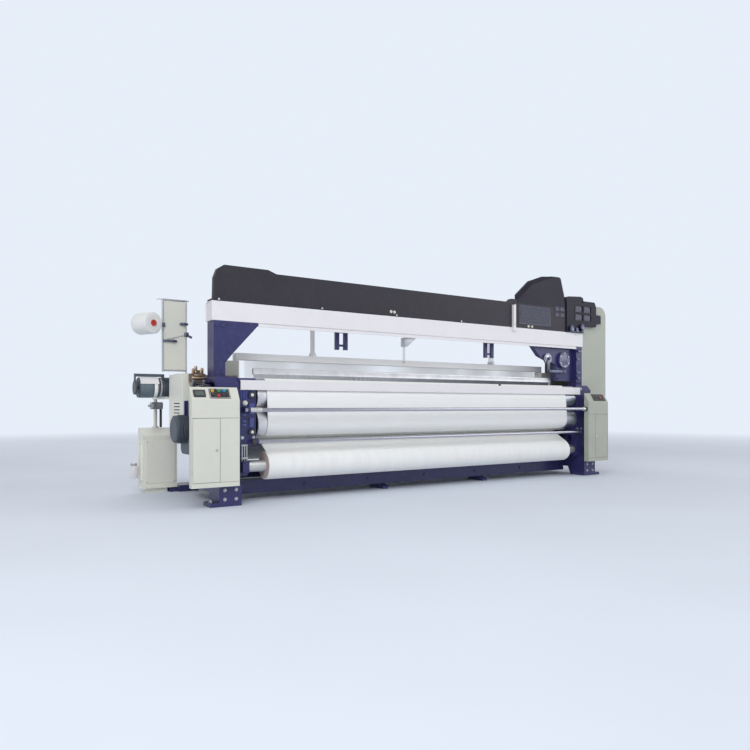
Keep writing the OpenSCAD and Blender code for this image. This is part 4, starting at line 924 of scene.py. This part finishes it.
class LOOM_OT_covers(Operator):
    """Panes, ribs, seams and fittings of the long cover, the hood and the shedding head"""

    bl_idname = "loom.covers"
    bl_label = "Covers"

    def execute(self, context):
        y = COVER_Y
        hem = block("cover_hem", (-2.146, y - 0.0025, 1.603), (1.052, y - SKIN, 1.619), 0.001)
        inset(hem, facing(y=-1), 0.004, 0.0008)
        dress(hem, "frame", "black")

        ribs = block("ribs", (1.160, y - 0.004, 1.640), (1.640, y - SKIN, 1.846), 0.0015)
        inset(ribs, facing(y=-1), 0.012, -0.0025)
        slat = block("slat", (1.176, y - 0.006, 1.658), (1.624, y - 0.0014, 1.670), 0.002)
        row(slat, 9, (0, 0, 0.0205))
        fixed("rib_panel", [ribs, slat], "pane")

        panes = []
        for x in (1.712, 1.792):
            for z in (1.758, 1.822):
                pane = block("pane", (x, y - 0.005, z), (x + 0.068, y - SKIN, z + 0.052), 0.002)
                inset(pane, facing(y=-1), 0.006, -0.002)
                panes.append(pane)
        fixed("hood_panes", panes, "pane")

        # each pane of the head lies back in its opening, inside a raised bead
        glass, beads = [], []
        y = HEAD_Y - SKIN
        for x in (2.022, 2.168):
            for z in (1.736, 1.830):
                pane = block("glass", (x + 0.005, y + 0.0067, z + 0.005), (x + 0.127, y + 0.0117, z + 0.075),
                             0.0015)
                inset(pane, facing(y=-1), 0.010, -0.001)
                pull(pane, facing(y=-1, limit=0.99, area=0.004), (0, -0.003, 0))
                glass.append(pane)
                bead = block("bead", (x - 0.004, y - 0.0026, z - 0.004), (x + 0.136, y, z + 0.084), 0.001)
                inset(bead, facing(y=-1), 0.008)
                shape(bead, lambda face: abs(face.normal.y) > 0.99 and face.calc_area() > 0.006)
                bpy.ops.mesh.delete(type="FACE")
                bpy.ops.object.mode_set(mode="OBJECT")
                beads.append(bead)
        fixed("head_glass", glass, "pane")
        for bead in beads:
            modify(bead, "SOLIDIFY", thickness=0.0012, offset=-1)
        fixed("head_beads", beads, "head")

        fittings = []
        for x, z, r, out in ((1.950, 1.640, 0.034, 0.030), (2.040, 1.628, 0.026, 0.022),
                             (2.116, 1.664, 0.032, 0.036), (2.124, 1.618, 0.018, 0.026)):
            cap = bar("cap", (x, y, z), (x, y - out, z), r, 32, 0.006)
            inset(cap, facing(y=-1, limit=0.99), r * 0.35, -0.004)
            fittings.append(cap)
        fittings.append(block("strap", (1.930, y - 0.0118, 1.604), (2.150, y, 1.616), 0.003, 2))
        fixed("head_fittings", fittings, "blued")

        y = COVER_Y
        places = [(x, y - 0.0026, 1.611) for x in (-2.116, -1.2, -0.42, 0.36)]
        screws("cover_screws", places, 0.009, "steel")
        spots = ((1.30, 1.622), (1.352, 1.622), (-0.478, 1.640), (-0.44, 1.638))
        bolts("cover_clips", [(x, y - SKIN, z) for x, z in spots], 0.010, "cream", sides=12)
        screws("post_screws", [(1.072, y - 0.0302, z) for z in (1.63, 1.83)], 0.007, "white")
        return {"FINISHED"}


class LOOM_OT_boxes(Operator):
    """Buttons, lamps, display, seams and locks of the two control boxes"""

    bl_idname = "loom.boxes"
    bl_label = "Control boxes"

    def execute(self, context):
        bezel = key("bezel", -1, (0.0215, 0.0255, PLATE), (0.1105, 0.0865, 0.008), 0.003)
        inset(bezel, OFF_PANEL, 0.009, -0.003)
        dress(bezel, "frame", "dark")
        screen = key("screen", -1, (0.034, 0.038, 0.0052), (0.098, 0.074, 0.0066), 0.0005)
        inset(screen, OFF_PANEL, 0.004, -0.0005)
        dress(screen, "frame", "screen")

        edges = []
        for u0, u1, v0, v1 in ((0.1425, 0.2975, 0.0165, 0.0215), (0.1425, 0.2975, 0.0925, 0.0975),
                               (0.1425, 0.1475, 0.0222, 0.0918), (0.2925, 0.2975, 0.0222, 0.0918)):
            edges.append(key("edge", -1, (u0, v0, PLATE), (u1, v1, 0.0048), 0.0006))
        fixed("plate_frame", edges, "alloy")
        # u, v and radius of the fixed keys and lamps of the left panel
        lamps = {
            "amber": [(0.166, 0.076, 0.0095)],
            "teal": [(0.258, 0.080, 0.0095)],
            "dark": [(0.166, 0.040, 0.008), (0.240, 0.044, 0.008), (0.272, 0.044, 0.008),
                     (0.186, 0.084, 0.006)],
            "blue": [(0.240, 0.076, 0.006)],
        }
        for colour, spots in lamps.items():
            knobs = []
            for u, v, r in spots:
                knobs.append(knob("rim", -1, u, v, r + 0.003, PLATE, 0.0085))
                top = knob("top", -1, u, v, r - 0.001, 0.0086, 0.0165, 0.002)
                inset(top, OFF_PANEL, 0.002, -0.0008)
                knobs.append(top)
            fixed(f"keys_{colour}", knobs, colour)
        for body, side, u, v, colour in (("stop_button", -1, 0.206, 0.034, "red"),
                                         ("right_button", 1, 0.110, 0.052, "red"),
                                         ("start_button", -1, 0.214, 0.076, "green")):
            top = knob(f"{body}_cap", side, u, v, 0.0118, 0.0121, 0.0135, 0.0006, 32)
            inset(top, OFF_PANEL, 0.003, -0.0005)
            dress(top, body, colour)

        edge = key("right_edge", 1, (0.034, 0.018, PLATE), (0.226, 0.096, 0.0045), 0.001)
        inset(edge, OFF_PANEL, 0.004, -0.0008)
        collar = knob("right_collar", 1, 0.110, 0.052, 0.021, 0.0046, 0.0085, 0.0012, 32)
        dots = [knob("dot", 1, u, 0.06, 0.007, 0.0046, 0.009) for u in (0.165, 0.19, 0.06)]
        fixed("right_keys", [collar, *dots], "dark")
        dress(edge, "frame", "dark")

        for name, left, right, door_edge in (("left", -2.405, -2.046, -2.195),
                                             ("right", 1.952, 2.269, 2.0565)):
            seams = []
            for x0, x1, z0, z1 in ((left, right, 0.6785, 0.6815),
                                   (door_edge, door_edge + 0.0025, 0.206, 0.678),
                                   (left, right, 0.200, 0.2025)):
                seams.append(block("seam", (x0, BOX_Y - 0.0006, z0), (x1, BOX_Y - SKIN, z1), 0.0001))
            fixed(f"{name}_seams", seams, "seam")
        # each lock stands less than a millimetre proud of its door
        for body, x in (("left_door", -2.219), ("right_door", 2.083)):
            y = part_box(body)[0].y - MID_Y
            lock = bar("lock", (x, y + 0.002, 0.440), (x, y - 0.0008, 0.440), 0.012, 32, 0.0006)
            inset(lock, facing(y=-1, limit=0.99), 0.003, -0.0006)
            slit = block("slit", (x - 0.002, y - 0.0006, 0.434), (x + 0.002, y + 0.001, 0.446), 0.0002)
            dress(join(f"{body}_lock", [lock, slit]), body, "steel")
        return {"FINISHED"}


class LOOM_OT_stand(Operator):
    """Plate, clips and wires of the weft stand, and the yarn package"""

    bl_idname = "loom.stand"
    bl_label = "Weft stand"

    def execute(self, context):
        plate = block("stand_plate", (-2.4155, 0.0015, 1.0595), (-2.2065, 0.0085, 1.6645), 0.0015)
        inset(plate, facing(y=-1), 0.008, -0.0008)
        dress(plate, "frame", "cream")
        clips = [
            block("clip", (-2.270, -0.012, 1.450), (-2.198, 0.0022, 1.471), 0.004, 2),
            bar("clip", (-2.236, -0.010, 1.460), (-2.236, -0.030, 1.460), 0.011, 16, 0.002),
            block("clip", (-2.410, -0.012, 1.304), (-2.292, 0.0022, 1.322), 0.004, 2),
            bar("clip", (-2.330, -0.010, 1.313), (-2.330, -0.026, 1.313), 0.012, 16, 0.002),
            block("clip", (-2.230, -0.018, 1.352), (-2.194, 0.012, 1.392), 0.006, 2),
            bar("clip", (-2.196, -0.004, 1.362), (-2.166, -0.004, 1.350), 0.010, 16, 0.002),
            block("clip", (-2.426, -0.014, 1.428), (-2.390, 0.014, 1.462), 0.005, 2),
        ]
        fixed("stand_clips", clips, "blued")
        corner, top = -2.446, 1.6570
        wires = [bar("wire", (-2.410, -0.004, 1.315), (-2.212, -0.004, 1.372), 0.0022, 8),
                 bar("wire", (corner, 0, top), (-2.190, 0, top), 0.0040, 10, 0.001),
                 bar("wire", (corner, 0, top), (corner, 0.034, top), 0.0040, 10, 0.001)]
        fixed("stand_wires", wires, "steel")

        middle = Vector((-2.541, -0.009, 1.445))
        way = Vector((0.43, -0.90, 0)).normalized()
        package = bar("package", middle - way * 0.0888, middle + way * 0.0888, 0.0878, 64, 0.010)
        for side in (-1, 1):
            inset(package, facing(*(way * side), 0.999), 0.028, -0.003)
        dress(package, "frame", "package")
        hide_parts("yarn_package")
        hub = bar("package_hub", middle + way * 0.084, middle + way * 0.094, 0.026, 32, 0.003)
        inset(hub, facing(*way, 0.999), 0.010, -0.004)
        dress(hub, "frame", "red")
        return {"FINISHED"}


class LOOM_OT_feeder(Operator):
    """Guard, sleeve, weft turns and connection box of the feeder, and the valve behind it"""

    bl_idname = "loom.feeder"
    bl_label = "Weft feeder"

    def execute(self, context):
        y, z = 0.206, 0.925
        r = 0.0905
        arc = [math.radians(20 + 8 * k) for k in range(11)]
        line = [(y - r * math.cos(a), z + r * math.sin(a)) for a in arc]
        guard = strip("feeder_guard", line, -2.556, -2.404)
        modify(guard, "SOLIDIFY", thickness=0.003, offset=0)
        modify(guard, "BEVEL", width=0.0008, segments=1)
        dress(guard, "frame", "white")
        r = 0.0862
        sleeve = bar("feeder_sleeve", (-2.552, y, z), (-2.5496, y, z), r, 64, 0.0006)
        row(sleeve, 26, (0.0038, 0, 0))
        dress(sleeve, "frame", "drum")
        turns = bar("feeder_turns", (-2.442, y, z), (-2.412, y, z), r, 64, 0.004)
        dress(turns, "frame", "package")
        gland_box = block("gland_box", (-2.350, 0.158, 0.984), (-2.278, 0.250, 1.014), 0.006, 2)
        inset(gland_box, facing(z=1), 0.008, -0.002)
        ring = bar("ring", (-2.3745, y, z), (-2.366, y, z), 0.079, 48, 0.002)
        fixed("feeder_box", [gland_box, ring], "motor")
        parts = [bar("gland", (-2.278, 0.190, 0.998), (-2.262, 0.190, 0.998), 0.010, 6, 0.002),
                 bar("cap", (-2.2500, y, z), (-2.2445, y, z), 0.030, 32, 0.0015)]
        fixed("feeder_gland", parts, "teal")

        y, z = 0.590, 0.772
        valve = block("valve", (-2.362, y - 0.032, 0.740), (-2.258, y + 0.032, 0.806), 0.008, 2)
        inset(valve, facing(y=-1), 0.010, -0.003)
        stubs = [bar("stub", (-2.345, y - 0.031, z), (-2.345, y - 0.060, z), 0.016, 6, 0.003),
                 bar("stub", (-2.362, y, z), (-2.384, y, z), 0.013, 24, 0.003)]
        fixed("valve", [valve, *stubs], "alloy")
        valve_rod = bar("valve_rod", (-2.272, y, 0.576), (-2.272, y, 0.742), 0.011, 24, 0.002)
        dress(valve_rod, "frame", "dark")
        return {"FINISHED"}


class LOOM_OT_left_side(Operator):
    """Nozzle parts, wheel grip, side cover trim, cabinet panel, side box and tank"""

    bl_idname = "loom.left_side"
    bl_label = "Left side"

    def execute(self, context):
        # x, y, radius, foot and top of each post on the nozzle unit
        posts = []
        for x, y, r, low, high in (
            (-2.270, -0.372, 0.010, 1.028, 1.062), (-2.246, -0.366, 0.013, 1.0285, 1.050),
            (-2.206, -0.372, 0.011, 1.028, 1.052), (-2.188, -0.345, 0.012, 1.028, 1.070),
            (-2.235, -0.335, 0.012, 1.056, 1.084),
        ):
            post = bar("post", (x, y, low), (x, y, high), r, 20, 0.002)
            pull(post, facing(z=1, limit=0.99), (0, 0, 0.006))
            posts.append(post)
        tubes = [bar("tube", (-2.285, -0.3835, 0.992), (-2.178, -0.3835, 0.992), 0.013, 20, 0.003),
                 bar("tube", (-2.262, -0.384, 1.014), (-2.200, -0.384, 1.014), 0.008, 16, 0.002)]
        fixed("nozzle_parts", posts + tubes, "brass")
        places = [(x, -0.380 - SKIN, z) for x in (-2.274, -2.186) for z in (0.970, 0.948)]
        bolts("nozzle_bolts", places, 0.0065, "steel")

        # the grip stands on the rim of the wheel and leans forwards by 25 degrees
        axis = Vector((0, -0.4226, 0.9063))
        rim = Vector((-2.314, -0.5345, 0.912))
        grip = bar("wheel_grip", rim + axis * 0.004, rim + axis * 0.052, 0.011, 24, 0.004)
        collar = bar("collar", rim + axis * 0.0042, rim + axis * 0.010, 0.0145, 24, 0.001)
        dress(join("wheel_grip", [grip, collar]), "handwheel", "dark")

        y = -0.300 - SKIN
        places = [(-2.272, y, z) for z in (0.670, 0.730, 0.790, 0.850)]
        screws("cover_dots", places, 0.008, "blued")
        guide = block("side_strip", (-2.320, -0.314, 0.650), (-2.288, y, 0.812), 0.003, 2)
        inset(guide, facing(y=-1), 0.007, -0.003)
        dress(guide, "frame", "navy")

        y = 0.4155
        # the cabinet panel and the side box carry the painted-light copy of the cream paint
        panel = block("cabinet_panel", (-2.443, y, 0.085), (-2.190, y + 0.0043, 0.462), 0.0015)
        inset(panel, facing(y=-1), 0.012, -0.0015)
        dress(panel, "frame", "pale")
        places = [(x, y - SKIN, z) for x in (-2.436, -2.197) for z in (0.096, 0.451)]
        screws("cabinet_screws", places, 0.005, "steel")
        side = block("side_box", (-2.478, 0.462, 0.108), (-2.4612, 0.582, 0.436), 0.003, 2)
        inset(side, facing(x=-1), 0.010, -0.003)
        dress(side, "frame", "pale")
        x, y = -2.524, 0.520
        tank = bar("tank", (x, y, 0.128), (x, y, 0.236), 0.036, 40, 0.008)
        neck = bar("neck", (x, y, 0.2362), (x, y, 0.242), 0.024, 32, 0.001)
        foot = block("foot", (x - 0.010, y - 0.020, 0.136), (x + 0.047, y + 0.020, 0.150), 0.003, 2)
        fixed("tank", [tank, neck, foot], "white")
        cap = bar("tank_cap", (x, y, 0.2425), (x, y, 0.262), 0.028, 24, 0.004)
        inset(cap, facing(z=1, limit=0.99), 0.008, -0.003)
        dress(cap, "frame", "alloy")
        return {"FINISHED"}


class LOOM_OT_brackets(Operator):
    """Caps, ribs, bolts, sleeves and knobs round the rollers and front bars"""

    bl_idname = "loom.brackets"
    bl_label = "Roller brackets"

    def execute(self, context):
        y = BRACKET_Y - SKIN
        x = -1.886
        rings, eyes = [], []
        for z in (0.857, 0.564):
            ring = bar("ring", (x, y - 0.012, z), (x, y - 0.0238, z), 0.027, 32, 0.003)
            inset(ring, facing(y=-1, limit=0.99), 0.010, -0.003)
            rings.append(ring)
            eyes.append(bar("eye", (x, y - 0.0198, z), (x, y - 0.0278, z), 0.0125, 24, 0.003))
        fixed("cap_rings", rings, "dark")
        fixed("cap_eyes", eyes, "white")
        # the ribs and pads are in the lighter navy copy: painted highlight
        rib = block("rib", (-1.976, -0.645, 0.818), (-1.969, y, 0.915), 0.0015)
        row(rib, 4, (0.015, 0, 0))
        pads = [rib]
        for z in (0.640, 0.690, 0.610):
            pads.append(block("pad", (-1.965, -0.646, z), (-1.930, y, z + 0.020), 0.004, 2))
        pads.append(block("pad", (-1.905, -0.650, 0.705), (-1.862, y, 0.790), 0.006, 2))
        inset(pads[-1], facing(y=-1), 0.010, -0.003)
        pads.append(block("pad", (-1.905, -0.648, 0.600), (-1.866, y, 0.676), 0.006, 2))
        fixed("bracket_ribs", pads, "navy_light")
        rods = [bar("rod", (x, -0.650, 0.300), (x, -0.650, 0.470), 0.006, 16, 0.001)
                for x in (-1.968, -1.949, -1.930)]
        clamps = [block("clamp", (-1.976, -0.660, z), (-1.922, y, z + 0.016), 0.003, 2)
                  for z in (0.452, 0.352)]
        fixed("adjusting_rods", rods + clamps, "alloy")
        bolts("cream_bolt", [(-1.937, y, 0.793)], 0.014, "cream", sides=12)
        hook = block("axle_hook", (-1.979, -0.694, 0.246), (-1.921, y, 0.336), 0.008, 3)
        inset(hook, facing(y=-1), 0.012, -0.004)
        dress(hook, "frame", "navy")
        for label, columns in (("left", (-1.960, -1.868)), ("right", (1.952, 2.010))):
            places = [(x, y, z) for x in columns for z in (0.960, 0.520)]
            bolts(f"bracket_bolts_{label}", places, 0.009, "steel")
        # light collars on the left ends of the two rollers only: partly real grip rings, partly painted
        # light, with the right ends left bare where they fall in shade
        for body, (y, z, r) in (("upper_roller", UPPER_ROLLER), ("takeup_roller", TAKEUP_ROLLER)):
            collar = bar(f"{body}_collar", (-1.832, y, z), (-1.762, y, z), r + 0.0003, 96, 0.001)
            inset(collar, facing(x=-1, limit=0.999), 0.004, -0.001)
            dress(collar, body, "satin")

        # sleeves and knobs on the two front bars, and the knob on the breast cover
        y, z = -0.760, 0.739
        sleeves = [bar("sleeve", (-1.9455, y, z), (-1.850, y, z), 0.0195, 32, 0.003),
                   bar("sleeve", (1.890, y, z), (1.9285, y, z), 0.0195, 32, 0.003)]
        fixed("bar_sleeves", sleeves, "core")
        knobs = [bar("knob", (-1.9000, -0.687, 0.486), (-1.8665, -0.687, 0.486), 0.022, 24, 0.004),
                 bar("knob", (1.9285, y, z), (1.947, y, z), 0.024, 24, 0.004)]
        inset(knobs[0], facing(x=-1, limit=0.99), 0.007, -0.003)
        fixed("bar_knobs", knobs, "dark")
        peg = bar("breast_knob", (0.775, -0.644, 0.9742), (0.775, -0.644, 0.990), 0.012, 20, 0.003)
        pull(peg, facing(z=1, limit=0.99), (0, 0, 0.003))
        dress(peg, "frame", "dark")
        places = [(x, -0.652 - SKIN, z) for x in (-1.93, -0.98, -0.02, 0.94, 1.90) for z in (0.910, 0.961)]
        screws("breast_screws", places, 0.0055, "white")
        return {"FINISHED"}


class LOOM_OT_linkage(Operator):
    """Pivot discs, arms and bolts of the linkage housing, column lugs, cover trim and wire bracket"""

    bl_idname = "loom.linkage"
    bl_label = "Linkage"

    def execute(self, context):
        for name, x, z, r, y, slot, finish in (
            ("small_pivot", 1.640, 1.295, 0.056, -0.4882, "bright_steel", "steel"),
            ("large_pivot", 1.892, 1.285, 0.088, -0.5002, "black_paint", "blued"),
        ):
            disc = bar("disc", (x, y, z), (x, y - 0.010, z), r, 64, 0.004)
            inset(disc, facing(y=-1, limit=0.99), r * 0.30, -0.004)
            inset(disc, facing(y=-1, limit=0.99, area=r * r * 0.9), r * 0.28, 0.006)
            dress(disc, "frame", finish)
            ring = r * 0.83
            places = [(x + ring * math.cos(a), y - 0.0098, z + ring * math.sin(a))
                      for a in (math.radians(30 + 60 * k) for k in range(6))]
            bolts(f"{name}_bolts", places, r * 0.085, "steel")
        arm = block("arm", (1.618, -0.508, 1.150), (1.662, -0.4985, 1.295), 0.004, 2)
        link_bar = block("arm", (1.640, -0.520, 1.138), (1.892, -0.5105, 1.166), 0.004, 2)
        pins = [bar("pin", (x, -0.4985, z), (x, -0.528, z), 0.016, 24, 0.003)
                for x, z in ((1.640, 1.295), (1.648, 1.152), (1.880, 1.152))]
        stay = block("arm", (1.862, -0.5095, 1.140), (1.900, -0.4770, 1.166), 0.004, 2)
        fixed("linkage_arms", [arm, link_bar, stay, *pins], "blued")
        spots = ((1.46, 1.425), (1.72, 1.420), (2.03, 1.425), (2.03, 1.08), (1.82, 1.08))
        bolts("housing_bolts", [(x, -0.476 - SKIN, z) for x, z in spots], 0.011, "navy")

        lugs = []
        for x, z, wide in ((2.10, 1.390, 0.060), (2.075, 1.300, 0.040), (2.08, 1.150, 0.055),
                           (2.09, 1.085, 0.045)):
            lug = block("lug", (x - wide / 2, -0.545, z - 0.012), (x + wide / 2, COVER_Y - SKIN, z + 0.012),
                        0.004, 2)
            pull(lug, facing(y=-1, area=0.0002), (0, -0.006, 0))
            lugs.append(lug)
        fixed("column_lugs", lugs, "blued")
        # the trim carries the painted-light copy of the cream paint
        trim = block("cover_trim", (2.176, -0.5035, 0.93), (2.196, -0.500 - SKIN, 1.440), 0.001)
        inset(trim, facing(y=-1), 0.004, 0.0006)
        dress(trim, "frame", "pale")

        # the bracket's right side slopes inwards on its way down
        wedge = block("wedge", (-0.305, -0.500, 1.330), (-0.165, -0.440, 1.4145))
        for v in wedge.data.vertices:
            if v.co.z < 1.35 and v.co.x > at(-0.2, 0, 0).x:
                v.co.x -= 0.105
        soften(wedge, every, 0.003)
        foot = 1.180
        wires = [bar("wire", (x, -0.470, foot), (x, -0.470, 1.332), 0.0022, 8)
                 for x in (-0.299, -0.289, -0.279)]
        wires.append(bar("wire", (-0.306, -0.470, foot), (-0.272, -0.470, foot), 0.0035, 10, 0.001))
        fixed("wire_bracket", [wedge, *wires], "alloy")
        return {"FINISHED"}


class LOOM_OT_castings(Operator):
    """Anchor bolts, flange bolts and screws of the frames, columns and beams"""

    bl_idname = "loom.castings"
    bl_label = "Castings"

    def execute(self, context):
        r = context.scene.loom_sizes.bolt_r
        for side, label in ((-1, "left"), (1, "right")):
            places = [(side * 2.205, y, 0.030 + SKIN) for y in (-0.620, 0.480)]
            bolts(f"anchors_{label}", places, r, "steel", way=(0, 0, 1))
            places = [(side * x, -0.700 - SKIN, z) for x in (2.035, 2.125) for z in (0.055, 0.125)]
            bolts(f"toe_bolts_{label}", places, r * 0.6, "alloy")
            places = [(side * (2.170 + SKIN), y, z) for y in (-0.480, -0.420) for z in (0.93, 0.965)]
            bolts(f"web_bolts_{label}", places, r * 0.6, "navy", way=(side, 0, 0))
            places = [(side * x, COVER_Y - SKIN, z) for x in (2.085, 2.132) for z in (1.030, 1.405)]
            bolts(f"column_bolts_{label}", places, r * 0.6, "navy")
        places = [(x, COVER_Y - SKIN, z) for x, z in ((-2.035, 1.42), (-1.86, 1.428), (-2.035, 1.20))]
        bolts("gusset_bolts", places, r * 0.55, "navy")
        places = [(x, -0.404 - SKIN, 0.102) for x in (-1.93, -1.3, -0.65, 0, 0.65, 1.3, 1.93)]
        bolts("beam_bolts", places, r * 0.6, "navy")
        places = [(x, COVER_Y - SKIN, 1.570) for x in (-2.10, -1.45, -0.72, 0.02, 0.74, 1.42, 2.05)]
        screws("top_beam_screws", places, r * 0.35, "white")
        return {"FINISHED"}


class LOOM_PT_pieces(Panel):
    """Lists the loom's pieces in the sidebar"""

    bl_label = "Loom"
    bl_space_type = "VIEW_3D"
    bl_region_type = "UI"
    bl_category = "Loom"

    def draw(self, context):
        for operator in OPERATORS:
            self.layout.operator(operator.bl_idname)


OPERATORS = [LOOM_OT_stage, LOOM_OT_finishes, LOOM_OT_healds, LOOM_OT_warp, LOOM_OT_reed, LOOM_OT_cloth,
             LOOM_OT_covers, LOOM_OT_boxes, LOOM_OT_stand, LOOM_OT_feeder, LOOM_OT_left_side,
             LOOM_OT_brackets, LOOM_OT_linkage, LOOM_OT_castings]
CLASSES = [LoomColours, LoomSizes, StageSettings, *OPERATORS, LOOM_PT_pieces]


def register():
    for kind in CLASSES:
        bpy.utils.register_class(kind)
    bpy.types.Scene.loom_colours = PointerProperty(type=LoomColours)
    bpy.types.Scene.loom_sizes = PointerProperty(type=LoomSizes)
    bpy.types.Scene.loom_stage = PointerProperty(type=StageSettings)


def unregister():
    del bpy.types.Scene.loom_stage
    del bpy.types.Scene.loom_sizes
    del bpy.types.Scene.loom_colours
    for kind in reversed(CLASSES):
        bpy.utils.unregister_class(kind)


def main():
    register()
    for operator in OPERATORS:
        group, name = operator.bl_idname.split(".")
        getattr(getattr(bpy.ops, group), name)()


if __name__ == "__main__":
    main()
